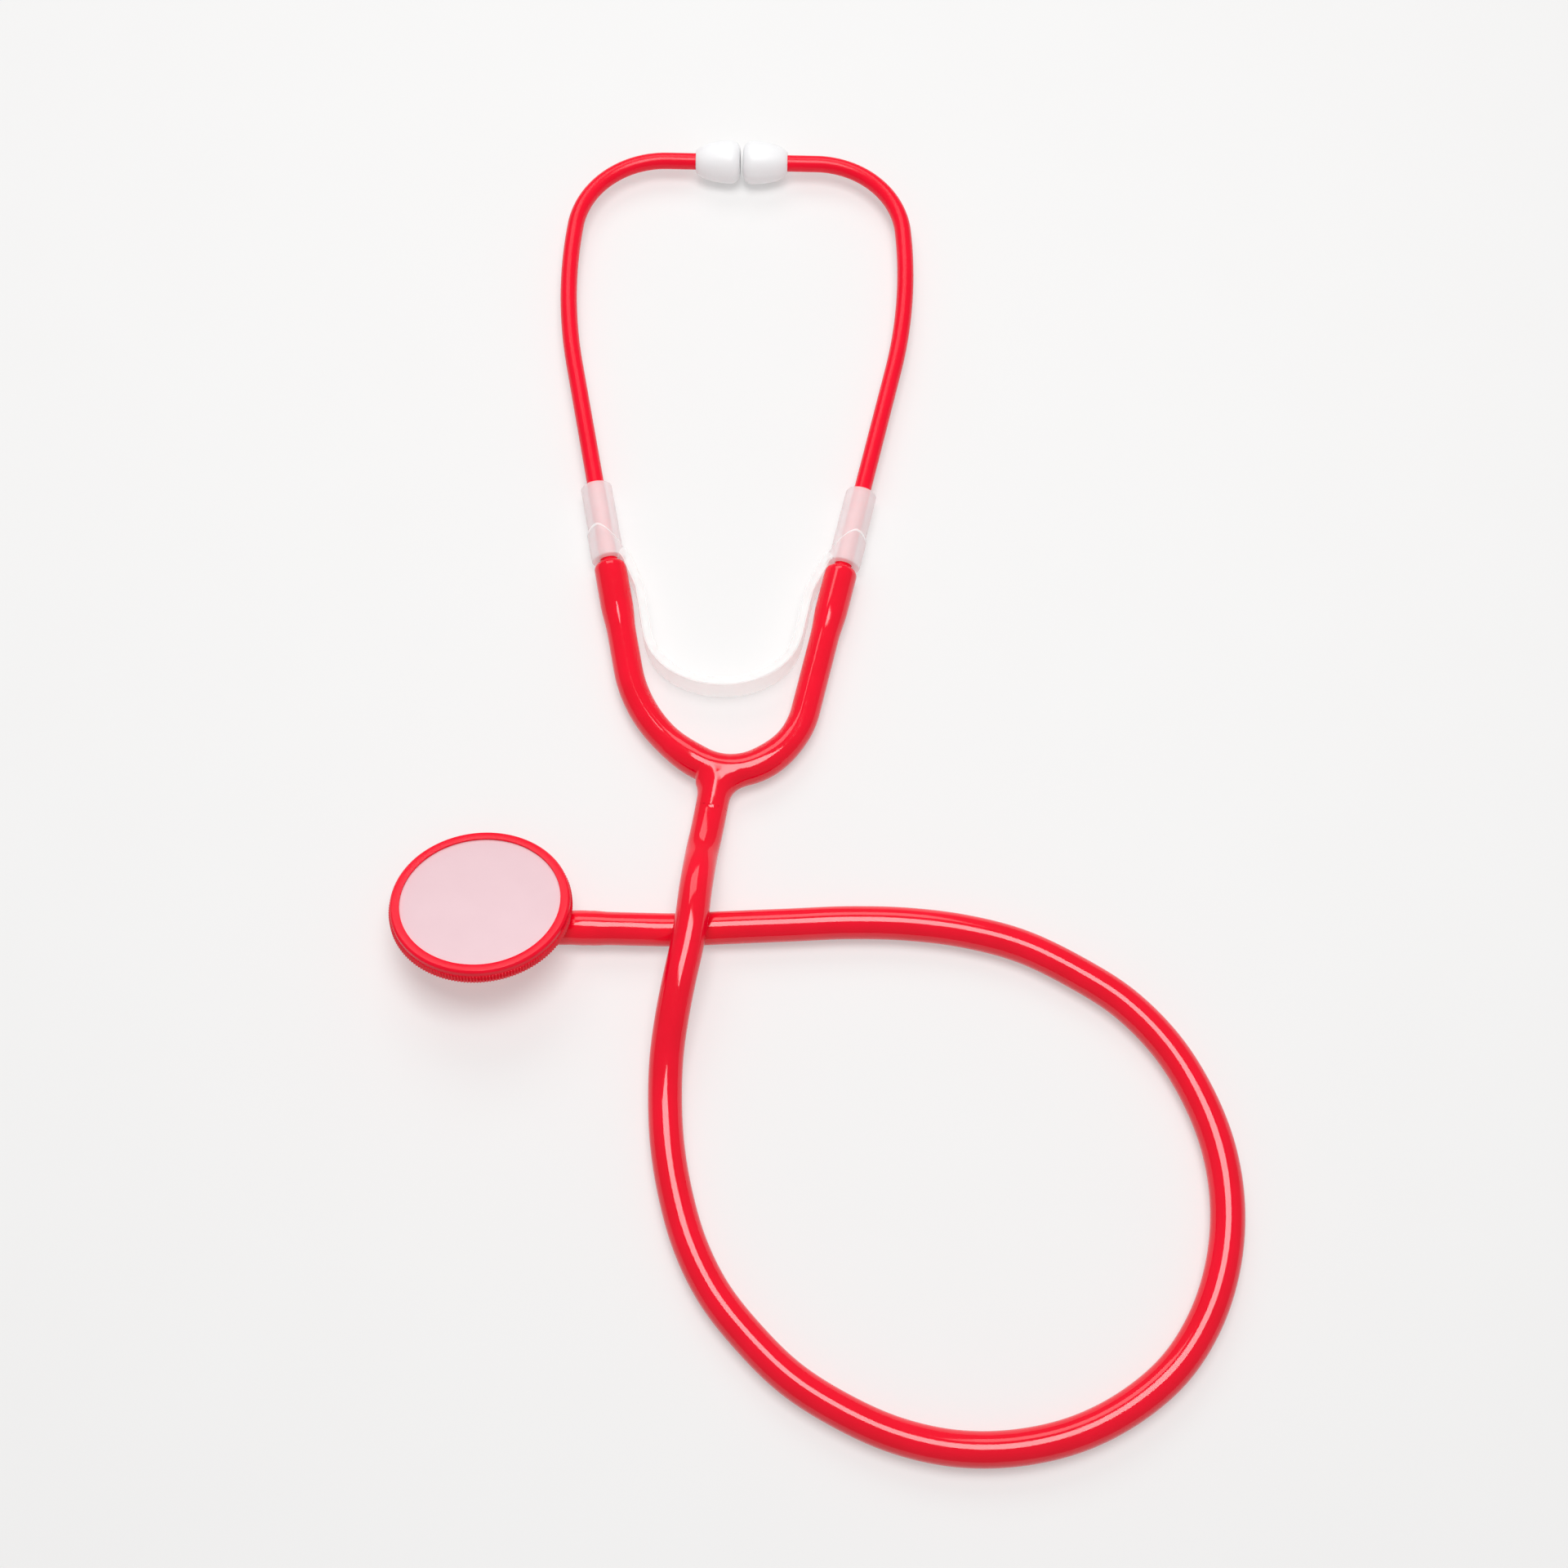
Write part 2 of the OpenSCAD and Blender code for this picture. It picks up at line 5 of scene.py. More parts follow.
import bpy
import numpy as np
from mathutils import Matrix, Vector

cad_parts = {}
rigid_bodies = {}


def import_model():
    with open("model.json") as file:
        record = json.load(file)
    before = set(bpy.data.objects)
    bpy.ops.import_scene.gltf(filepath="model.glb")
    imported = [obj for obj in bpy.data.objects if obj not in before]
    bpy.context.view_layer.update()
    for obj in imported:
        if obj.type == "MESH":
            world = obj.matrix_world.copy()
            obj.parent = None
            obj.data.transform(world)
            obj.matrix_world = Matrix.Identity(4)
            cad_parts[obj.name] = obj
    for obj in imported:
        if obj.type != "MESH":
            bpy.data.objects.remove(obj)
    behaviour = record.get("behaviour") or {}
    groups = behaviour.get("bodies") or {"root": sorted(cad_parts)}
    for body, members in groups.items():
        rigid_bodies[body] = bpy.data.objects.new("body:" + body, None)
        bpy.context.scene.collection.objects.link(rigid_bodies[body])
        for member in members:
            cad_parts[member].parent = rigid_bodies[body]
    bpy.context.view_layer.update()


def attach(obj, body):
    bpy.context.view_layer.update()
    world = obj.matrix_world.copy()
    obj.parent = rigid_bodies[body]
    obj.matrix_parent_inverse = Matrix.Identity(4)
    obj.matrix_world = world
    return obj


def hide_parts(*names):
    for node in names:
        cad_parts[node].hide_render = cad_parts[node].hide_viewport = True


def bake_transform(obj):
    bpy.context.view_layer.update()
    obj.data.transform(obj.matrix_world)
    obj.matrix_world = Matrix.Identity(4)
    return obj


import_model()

# Sizes of the construction, in millimetres and degrees
MM = 0.001
ARM_D, WAIST_D = 8.6, 7.6
MEET_X, ROOT_RUN, ROOT_ANGLE = 3, 8.2, 63
SIDE_ANGLE, ARM_REACH, ARM_RISE, ARM_ROUND = 12, 30.8, 60.2, 1.8
NECK_LEN, NECK_LEAN = 9, 8
TUBE_D, TUBE_SEAT, TUBE_RUN, TUBE_BOW_R, TUBE_LEAN, TUBE_BEND_R = 4.6, 12, 62.4, 146, 6, 25
TIP_D, TIP_LEN, TIP_MOUTH_D, TIP_SEAT, TIPS_APART = 12, 12.7, 4, 8, 0.7
SLEEVE_D, SLEEVE_LEN, SLEEVE_GAP = 9.1, 22.3, 0.9
BAND_T, BAND_H, BAND_RISE, BAND_BOW_R, BAND_BOW_ANGLE, BAND_CORNER_R = 2.4, 8.5, 25.2, 24, 60, 16
BAND_LEAN, BAND_LEG, BAND_FLARE_R, BAND_FLARE, BAND_FLARE_RUN, BAND_HOOK = 11, 12.5, 7, 24, 8, 50
HOSE_D, HOSE_GAP, CUFF_D, CUFF_LEN = 8.3, 0.3, 8.8, 20.2
CHEST_LEFT, CHEST_DOWN, CHEST_ROLL, RING_D, RING_H = 56.6, 41.2, 19.5, 45, 4
RIB_COUNT, RIB_DEEP, RING_WALL, LIP_T, LIP_W, FILM_T, FACE_H = 180, 0.4, 1.2, 0.6, 0.7, 0.5, 9.5
BOSS_REACH, STEM_OUT = 13, 17.5
TURN_GAP, PASS_GAP = 0.05, 0.3


def forward(p, run, angle):
    """A place straight on from another, along a heading from the centre line."""
    a = math.radians(angle)
    return (p[0] + run * math.sin(a), p[1] + run * math.cos(a))


def turned(p, r, start, end):
    """A place where an arc ends whose heading falls towards the centre line."""
    a, b = math.radians(start), math.radians(end)
    return (p[0] + r * (math.cos(b) - math.cos(a)), p[1] + r * (math.sin(a) - math.sin(b)))


def turned_out(p, r, start, end):
    """A place where an arc ends whose heading rises away from the centre line."""
    a, b = math.radians(start), math.radians(end)
    return (p[0] + r * (math.cos(a) - math.cos(b)), p[1] + r * (math.sin(b) - math.sin(a)))


def off_side(p):
    """How far right a place is of the line that goes along the side angle from the neck's top."""
    a = math.radians(SIDE_ANGLE)
    return p[0] * math.cos(a) - p[1] * math.sin(a)


def meeting(side):
    """Where an arm meets the other one, as if it lay on the right."""
    return (MEET_X if side == "right" else -MEET_X, 0)


def pivot(side):
    """The bend line of an arm, as if it lay on the right."""
    return forward(meeting(side), ROOT_RUN, ROOT_ANGLE)


def bend_r(side):
    """Radius of an arm's bend, which ends beside the arm's straight top."""
    root = pivot(side)
    reach = off_side((ARM_REACH - root[0], ARM_RISE - root[1]))
    return reach / (1 - math.cos(math.radians(ROOT_ANGLE - SIDE_ANGLE)))


def bend_end(side):
    """Where an arm's bend ends and its straight top starts."""
    return turned(pivot(side), bend_r(side), ROOT_ANGLE, SIDE_ANGLE)


ARM_TOP = (ARM_REACH, ARM_RISE)
PIVOT_Y = pivot("left")[1]
SLEEVE_FOOT = forward(ARM_TOP, SLEEVE_GAP, SIDE_ANGLE)
RUN_END = forward(ARM_TOP, TUBE_RUN, SIDE_ANGLE)
BOW_END = turned(RUN_END, TUBE_BOW_R, SIDE_ANGLE, -TUBE_LEAN)
CROWN = turned(BOW_END, TUBE_BEND_R, -TUBE_LEAN, -90)
TUBE_WIDEST = turned(RUN_END, TUBE_BOW_R, SIDE_ANGLE, 0)[0]
AXIS_Z = 1.05 * ARM_D / 2
SIDE_TILT = math.asin((TIP_D / 2 - AXIS_Z) / (CROWN[1] - PIVOT_Y))

RING_R = RING_D / 2
THREAD_BORE_R = RING_R - RIB_DEEP - RING_WALL
LEDGE_W = RING_WALL / 3
GROOVE_R = THREAD_BORE_R - LEDGE_W
FILM_R = GROOVE_R - 2 * TURN_GAP
FACE_R = FILM_R - LIP_W
RING_TOP = FACE_H + TURN_GAP + LIP_T
RING_FOOT = RING_TOP - RING_H
ROLL = math.radians(CHEST_ROLL)
ROLL_Y = RING_R * math.cos(ROLL) - RING_FOOT * math.sin(ROLL)
FORK_X = (CHEST_LEFT + RING_R - TUBE_WIDEST - TUBE_D / 2) / 2
FORK_Y = (CHEST_DOWN + ROLL_Y - CROWN[1] - TIP_D / 2) / 2


def at_fork(x, y, z=0):
    """A point of the fork's level plane."""
    return Vector((FORK_X + x, FORK_Y + y, AXIS_Z + z)) * MM


def in_headset(x, y, z=0):
    """A point of the headset's plane, which rises a little to the ear tips."""
    up, along = math.sin(SIDE_TILT), math.cos(SIDE_TILT)
    run = y - PIVOT_Y
    return at_fork(x, PIVOT_Y + run * along - z * up, run * up + z * along)


def in_chestpiece(x, y, z=0):
    """A point of the chestpiece, whose face looks along z."""
    c, s = math.cos(ROLL), math.sin(ROLL)
    return at_fork(x - CHEST_LEFT, y * c + z * s - CHEST_DOWN, z * c - y * s)


# Camera
EYE = (0.037622, -0.284922, 0.5396)
EYE_LEAN, EYE_TURN, LENS, SENSOR = 22, 1.5, 52, 36


def camera():
    """The place, lens and heading that show the toy as in its picture."""
    data = bpy.data.cameras.new("camera")
    data.lens, data.sensor_width = LENS, SENSOR
    eye = bpy.data.objects.new("camera", data)
    eye.location = EYE
    eye.rotation_euler = (math.radians(EYE_LEAN), 0, math.radians(EYE_TURN))
    bpy.context.scene.collection.objects.link(eye)
    bpy.context.scene.camera = eye


camera()


# Modelling helpers
MERGE = 0.002
# Shading: edges flatter than these angles look smooth
ROUND_ANGLE, TURNED_ANGLE, FUSED_ANGLE = 50, 40, 80
# A rounded corner takes up to one such part of its sides, and none where they are nearly in line
SIDE_PARTS, NEARLY_STRAIGHT = 2.2, 165


def deselect():
    """Leave edit mode and select nothing."""
    if bpy.context.object and bpy.context.object.mode != "OBJECT":
        bpy.ops.object.mode_set(mode="OBJECT")
    bpy.ops.object.select_all(action="DESELECT")


def take(piece):
    """Make a piece the only selected one."""
    deselect()
    piece.select_set(True)
    bpy.context.view_layer.objects.active = piece


def finished(piece, name, angle):
    """Name a piece, put its place in its mesh and shade it."""
    take(piece)
    bpy.ops.object.transform_apply(location=True, rotation=True, scale=True)
    bpy.ops.object.shade_smooth_by_angle(angle=math.radians(angle))
    piece.name = name
    piece.data.name = name
    return piece


def tidy_mesh(piece):
    """Merge doubles and turn the faces outwards."""
    take(piece)
    bpy.ops.object.mode_set(mode="EDIT")
    bpy.ops.mesh.select_all(action="SELECT")
    bpy.ops.mesh.remove_doubles(threshold=MERGE * MM)
    bpy.ops.mesh.normals_make_consistent(inside=False)
    bpy.ops.object.mode_set(mode="OBJECT")


def tube(line, radii, sides, caps=True):
    """A round tube along a line of points, from a curve with a round bevel."""
    deselect()
    bpy.ops.curve.primitive_nurbs_path_add()
    piece = bpy.context.object
    curve = piece.data
    curve.splines.clear()
    curve.dimensions = "3D"
    spline = curve.splines.new("POLY")
    spline.points.add(len(line) - 1)
    for point, place, r in zip(spline.points, line, radii):
        point.co = (*place, 1)
        point.radius = r
    curve.bevel_depth = MM
    curve.bevel_resolution = sides // 2 - 2
    curve.use_fill_caps = caps
    bpy.ops.object.convert(target="MESH")
    piece = bpy.context.object
    tidy_mesh(piece)
    return piece


def lathe(outline, place, steps, closed=False):
    """A turned piece: an outline of radii and heights, in millimetres, swung round its axis."""
    deselect()
    bpy.ops.mesh.primitive_circle_add(vertices=len(outline), radius=MM, fill_type="NOTHING")
    piece = bpy.context.object
    last = len(outline) - 1
    for vertex, (r, h) in zip(piece.data.vertices, outline):
        vertex.co = place(r, 0, h)
    bpy.ops.object.mode_set(mode="EDIT")
    if not closed:
        bpy.ops.mesh.select_all(action="DESELECT")
        bpy.ops.object.mode_set(mode="OBJECT")
        for edge in piece.data.edges:
            edge.select = set(edge.vertices) == {0, last}
        bpy.ops.object.mode_set(mode="EDIT")
        bpy.ops.mesh.select_mode(type="EDGE")
        bpy.ops.mesh.delete(type="EDGE")
        bpy.ops.mesh.select_mode(type="VERT")
    bpy.ops.mesh.select_all(action="SELECT")
    axis = place(0, 0, 1) - place(0, 0, 0)
    bpy.ops.mesh.spin(steps=steps, angle=math.tau, center=place(0, 0, 0),
                      axis=axis.normalized(), use_auto_merge=True)
    bpy.ops.object.mode_set(mode="OBJECT")
    tidy_mesh(piece)
    return piece


def softened(outline, r, steps=3, closed=False):
    """An outline with its corners rounded."""
    points = [Vector(p) for p in outline]
    n = len(points)
    out = []
    for i, p in enumerate(points):
        if not closed and i in (0, n - 1):
            out.append(tuple(p))
            continue
        before, after = points[i - 1] - p, points[(i + 1) % n] - p
        reach = min(r, before.length / SIDE_PARTS, after.length / SIDE_PARTS)
        if before.angle(after, math.pi) > math.radians(NEARLY_STRAIGHT):
            out.append(tuple(p))
            continue
        a, b = p + before.normalized() * reach, p + after.normalized() * reach
        for k in range(steps + 1):
            t = k / steps
            out.append(tuple((1 - t) ** 2 * a + 2 * t * (1 - t) * p + t * t * b))
    return out


def smooth_line(points, step):
    """Points close together on a smooth curve, a centripetal Catmull-Rom spline, through the given ones."""
    points = [np.array(p, float) for p in points]
    ends = [2 * points[0] - points[1]] + points + [2 * points[-1] - points[-2]]
    out = []
    for a, b, c, d in zip(ends, ends[1:], ends[2:], ends[3:]):
        count = max(1, round(np.linalg.norm(c - b) / step))
        tb = np.linalg.norm(b - a) ** 0.5
        tc = tb + np.linalg.norm(c - b) ** 0.5
        td = tc + np.linalg.norm(d - c) ** 0.5
        for k in range(count):
            t = tb + (tc - tb) * k / count
            ab = a + (b - a) * t / tb
            bc = b + (c - b) * (t - tb) / (tc - tb)
            cd = c + (d - c) * (t - tc) / (td - tc)
            abc = ab + (bc - ab) * t / tc
            bcd = bc + (cd - bc) * (t - tb) / (td - tb)
            out.append(abc + (bcd - abc) * (t - tb) / (tc - tb))
    out.append(points[-1])
    return out


# Hose: its route from the fork's middle, in metres, each point with its share of the lift
HOSE_ROUTE = [
    (-0.003, -0.021, 0.26), (-0.0035, -0.027, 0.64), (-0.004, -0.033, 0.88), (-0.0045, -0.040, 1),
    (-0.0055, -0.048, 0.97), (-0.007, -0.056, 0.85), (-0.0085, -0.065, 0.59), (-0.0095, -0.074, 0.25),
    (-0.0095, -0.084, 0.05), (-0.0085, -0.095, 0), (-0.006, -0.107, 0), (-0.002, -0.119, 0),
    (0.004, -0.130, 0), (0.0125, -0.140, 0), (0.0225, -0.149, 0), (0.0345, -0.156, 0),
    (0.047, -0.161, 0), (0.0605, -0.1635, 0), (0.0745, -0.163, 0), (0.0885, -0.1595, 0),
    (0.101, -0.153, 0), (0.1115, -0.144, 0), (0.119, -0.1325, 0), (0.1235, -0.1195, 0),
    (0.125, -0.106, 0), (0.1235, -0.0925, 0), (0.119, -0.0795, 0), (0.112, -0.0675, 0),
    (0.102, -0.057, 0), (0.0905, -0.0495, 0), (0.077, -0.043, 0), (0.063, -0.0395, 0),
    (0.0485, -0.038, 0), (0.034, -0.038, 0), (0.0195, -0.039, 0), (0.005, -0.040, 0),
    (-0.009, -0.041, 0),
]
FIRST_LIFT = 0.065
END_RUN = 6
HOSE_STEP, SEAM_RUN, HOSE_SIDES = 1.6, 0.2, 48
# Swelling over the stem: how far behind the stem's tip, and how much thicker the hose's radius is there
CUFF_LEAD = 1.5
CUFF_EASE = [(0, 0.03), (1.5, 0.14), (3, 0.22)]
# Swelling over the barbs, which comes and goes with their pitch, and the rolled lip at the boss
CUFF_BACK, CUFF_STEP, CUFF_REST, CUFF_SWELL = 4.2, 0.8, 0.9, 0.16
BARB_PITCH, BARB_BULGE = 5.7, 0.09
CUFF_LIP = [(0.45, 0.02), (0.15, 0.12), (0, 0.32)]


def hose():
    """The free hose and its swollen end, down to the chestpiece's boss, as one smooth tube."""
    def on_neck(run, z=0):
        a = math.radians(NECK_LEAN)
        return at_fork(-run * math.sin(a), -run * math.cos(a), z)

    def lifted(share):
        return HOSE_D / 2 + share * (HOSE_D + HOSE_GAP) - AXIS_Z

    cuff_foot = BOSS_REACH + PASS_GAP
    cuff_start = cuff_foot + CUFF_LEN
    route = [on_neck(NECK_LEN), on_neck(NECK_LEN + END_RUN, FIRST_LIFT * (HOSE_D + HOSE_GAP))]
    route += [at_fork(x / MM, y / MM, lifted(share)) for x, y, share in HOSE_ROUTE]
    route += [at_fork(cuff_start + END_RUN - CHEST_LEFT, -CHEST_DOWN),
              at_fork(cuff_start - CHEST_LEFT, -CHEST_DOWN)]
    line = smooth_line(route, HOSE_STEP * MM)
    # straight away from the neck, so that the seam doesn't show
    line.insert(1, np.array(on_neck(NECK_LEN + SEAM_RUN)))
    stem_tip = BOSS_REACH + STEM_OUT
    hose_r = HOSE_D / 2
    cuff = [(cuff_start - CUFF_LEAD, hose_r)]
    cuff += [(stem_tip - back, hose_r + more) for back, more in CUFF_EASE]
    run = stem_tip - CUFF_BACK
    while run > cuff_foot + CUFF_REST:
        bulge = 0.5 + 0.5 * math.cos((run - cuff_foot) / BARB_PITCH * math.tau)
        cuff.append((run, hose_r + CUFF_SWELL + BARB_BULGE * bulge))
        run -= CUFF_STEP
    cuff += [(cuff_foot + ahead, CUFF_D / 2 - less) for ahead, less in CUFF_LIP]
    places = [tuple(p) for p in line] + [tuple(at_fork(x - CHEST_LEFT, -CHEST_DOWN)) for x, r in cuff]
    radii = [hose_r] * len(line) + [r for x, r in cuff]
    piece = finished(tube(places, radii, HOSE_SIDES), "hose_skin", ROUND_ANGLE)
    length = sum((Vector(b) - Vector(a)).length for a, b in zip(places, places[1:]))
    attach(piece, "moulding")
    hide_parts("hose", "hose_end")
    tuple(places[0])
    return piece


HOSE = hose()


# Y tube: a middle that holds the root of both arms and the neck, and two arms that bend at their roots
# Rounding between the bent bar and the neck, and where it fades out: round the bend, down the neck and
# inside the U
CORNER, NO_CORNER = 4.6, 0.001
BEND_FADE, NECK_FADE, INSIDE_FADE = (0.82, 1), (6.5, 8.8), (-4, 0)
NECK_TAPER = (1, 8)
# The rough middle that is drawn onto the surface: its grid, its bars' spare ends and how high they start
MIDDLE_VOXEL, SPARE_RUN, START_UP, MIDDLE_SIDES = 0.28, 2, 1, 48
PULLS, NUDGE, LEAST_SLOPE, LEAST_SQUARE = 6, 0.01, 0.2, 0.01


def smooth(value, low, high):
    """A share from 0 to 1 that rises gently between two values."""
    t = np.clip((value - low) / (high - low), 0, 1)
    return t * t * (3 - 2 * t)


def y_surface(p):
    """How far points, in millimetres from the neck's top, lie outside the bent bar and its neck."""
    flat = p[:, :2]
    turn = math.radians(90 - ROOT_ANGLE)
    bow_r = ROOT_RUN / math.tan(turn)
    centre = np.array((MEET_X, bow_r / math.cos(turn)))
    out = flat - centre
    below = np.linalg.norm(out, axis=1) - bow_r
    bow = np.abs(below)
    around = np.abs(np.arctan2(out[:, 0], -out[:, 1])) / turn
    a = math.radians(NECK_LEAN)
    down = -np.array((math.sin(a), math.cos(a)))
    run = flat @ down
    neck = np.linalg.norm(flat - np.maximum(run, 0)[:, None] * down, axis=1)
    here = (1 - smooth(around, *BEND_FADE)) * (1 - smooth(run, *NECK_FADE)) * smooth(below, *INSIDE_FADE)
    k = CORNER * here + NO_CORNER
    h = np.maximum(k - np.abs(bow - neck), 0) / k
    beside = np.minimum(bow, neck) - h * h * k / 4
    radius = ARM_D / 2 - (ARM_D - HOSE_D) / 2 * smooth(run, *NECK_TAPER)
    return np.sqrt(np.maximum(beside * np.abs(beside) + p[:, 2] ** 2, LEAST_SQUARE)) - radius


def bisected(piece, place, way):
    """Cut a piece at a plane and keep the side that the plane's direction leaves."""
    take(piece)
    bpy.ops.object.mode_set(mode="EDIT")
    bpy.ops.mesh.select_all(action="SELECT")
    bpy.ops.mesh.bisect(plane_co=place, plane_no=way, clear_outer=True, use_fill=False)
    bpy.ops.object.mode_set(mode="OBJECT")


def y_middle():
    """The middle of the Y: three bars fused, drawn onto the smooth surface, and cut square at their ends."""
    bars = []
    ways = (((MEET_X, 0), -ROOT_ANGLE, ROOT_RUN), ((MEET_X, 0), ROOT_ANGLE, ROOT_RUN),
            ((0, 0), 180 + NECK_LEAN, NECK_LEN))
    for start, angle, run in ways:
        first = start if angle > 90 else (start[0], start[1] + START_UP)
        ends = [at_fork(*first), at_fork(*forward(start, run + SPARE_RUN, angle))]
        bars.append(tube(ends, [ARM_D / 2] * 2, MIDDLE_SIDES))
    deselect()
    for bar in bars:
        bar.select_set(True)
    bpy.context.view_layer.objects.active = bars[0]
    bpy.ops.object.join()
    piece = bars[0]
    piece.data.remesh_voxel_size = MIDDLE_VOXEL * MM
    bpy.ops.object.voxel_remesh()
    for start, angle, run in ways:
        place = at_fork(*forward(start, run, angle))
        bisected(piece, place, (place - at_fork(*start)).normalized())
    middle = np.array(at_fork(0, 0))
    co = np.array([v.co for v in piece.data.vertices])
    p = (co - middle) / MM
    nudge = np.eye(3) * NUDGE
    for turn in range(PULLS):
        here = y_surface(p)
        slope = np.stack([(y_surface(p + d) - y_surface(p - d)) / (2 * NUDGE) for d in nudge], axis=1)
        p = p - (here / np.maximum((slope ** 2).sum(axis=1), LEAST_SLOPE))[:, None] * slope
    piece.data.vertices.foreach_set("co", (p * MM + middle).ravel())
    piece.data.update()
    piece = finished(piece, "fork_skin", FUSED_ANGLE)
    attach(piece, "moulding")
    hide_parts("fork")
    return piece


# Where an arm gets thinner, how far it reaches into the middle, and how far round the bend a place is found
ROOT_TAPER, ARM_LAP, BLEND_RUN = (1, 13), 0.1, 6
BEND_STEPS, TOP_STEPS, ROUND_STEPS, ARM_SIDES = 40, 24, 7, 64
# Last rings before the rounded top edge; the socket's bevel, wide and deep, and the rim on its floor
SHOULDER_RUNS = (0.5, 0.12)
SOCKET_BEVEL, SOCKET_FLOOR, END_NEAR = (0.14, 0.07), 1, 0.02


def ring_step(centre, step, share):
    """Extrude the selected edge loop by a step and scale the new loop about its centre."""
    bpy.ops.mesh.extrude_edges_move(TRANSFORM_OT_translate={"value": step})
    bpy.ops.transform.resize(value=(share, share, share), center_override=centre + step)


def arm(side):
    """One arm of the Y: thick at its root and where it holds the ear tube, with a rounded end."""
    way = 1 if side == "right" else -1
    start, root, r = meeting(side), pivot(side), bend_r(side)
    bend = math.radians(ROOT_ANGLE - SIDE_ANGLE) * r
    last = math.dist(bend_end(side), ARM_TOP)
    thick, thin = ARM_D / 2, WAIST_D / 2

    def radius(run):
        root_share = 1 - smooth(run, *ROOT_TAPER)
        top_share = smooth(run - bend, last - TUBE_SEAT - ARM_D, last - TUBE_SEAT)
        return thin + (thick - thin) * float(max(root_share, top_share))

    foot = forward(start, ROOT_RUN - ARM_LAP, ROOT_ANGLE)
    line, radii = [at_fork(way * foot[0], foot[1])], [thick]
    for k in range(BEND_STEPS + 1):
        x, y = turned(root, r, ROOT_ANGLE, ROOT_ANGLE + (SIDE_ANGLE - ROOT_ANGLE) * k / BEND_STEPS)
        line.append(in_headset(way * x, y))
        radii.append(radius(bend * k / BEND_STEPS))
    shoulder = last - ARM_ROUND
    runs = [shoulder * k / TOP_STEPS for k in range(1, TOP_STEPS)]
    runs += [shoulder - back for back in SHOULDER_RUNS]
    for run in runs:
        x, y = forward(bend_end(side), run, SIDE_ANGLE)
        line.append(in_headset(way * x, y))
        radii.append(radius(bend + run))
    piece = tube(line, radii, ARM_SIDES, caps=False)
    axis = (line[-1] - line[-3]).normalized()
    bpy.ops.object.mode_set(mode="EDIT")
    bpy.ops.mesh.select_all(action="DESELECT")
    bpy.ops.object.mode_set(mode="OBJECT")
    for vertex in piece.data.vertices:
        beyond = vertex.co - line[-1]
        vertex.select = abs(beyond.dot(axis)) < END_NEAR * MM and beyond.length < ARM_D * MM
    bpy.ops.object.mode_set(mode="EDIT")
    bpy.ops.mesh.select_mode(type="EDGE")
    centre = line[-1].copy()
    wide = thick
    socket = TUBE_D / 2 + TURN_GAP
    rounding = []
    for k in range(1, ROUND_STEPS + 1):
        a, b = math.radians(90 * (k - 1) / ROUND_STEPS), math.radians(90 * k / ROUND_STEPS)
        rounding.append((ARM_ROUND * (math.sin(b) - math.sin(a)) + (SHOULDER_RUNS[1] if k == 1 else 0),
                         thick - ARM_ROUND * (1 - math.cos(b))))
    wider, down = SOCKET_BEVEL
    seat = [(0, socket + wider), (-down, socket), (-TUBE_SEAT, socket), (0, socket - SOCKET_FLOOR)]
    for rise, new in rounding + seat:
        step = axis * rise * MM
        ring_step(centre, step, new / wide)
        centre, wide = centre + step, new
    bpy.ops.mesh.select_mode(type="VERT")
    bpy.ops.object.mode_set(mode="OBJECT")
    piece = finished(piece, side + "_arm_skin", ROUND_ANGLE)
    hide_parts(side + "_arm")
    near = forward(start, ROOT_RUN, ROOT_ANGLE)
    far = turned(root, r, ROOT_ANGLE, ROOT_ANGLE - math.degrees(BLEND_RUN / r))
    at_fork(way * near[0], near[1])
    in_headset(way * far[0], far[1])
    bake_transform(piece)
    return piece


MIDDLE = y_middle()
ARMS = [arm("left"), arm("right")]


# Sleeves and tension band
SLEEVE_THIN, SLEEVE_SOFT, SLEEVE_SIDES = 0.4, 0.5, 96
# The step in a sleeve's thickness, at this height in its outline, follows an arched line on the piece
SLEEVE_STEP, SLEEVE_RINGS = 8, 22
ARCH_TOP, ARCH_AT, OUTER_FALL, INNER_FALL, OUTER_POWER, INNER_POWER = 9.5, 0.35, 1.4, 7.4, 2, 1.4
# The bead on that line: how far out of the thick and of the thin part, and how far from the step
BEAD_OUT, BEAD_IN = [(-0.12, -0.6), (0.02, -0.4), (0.1, -0.1), (0, 0.15)], 0.4
BEAD_BELOW, BEAD_ABOVE, BEAD_SEEN = 0.7, 0.5, 0.01


def mark_highlight_edges(piece, marks):
    """Write which vertices lie on a moulded edge, where the milky plastic gets a painted highlight."""
    edge = piece.data.attributes.new("edge", "FLOAT", "POINT")
    edge.data.foreach_set("value", [1.0 if mark else 0.0 for mark in marks])


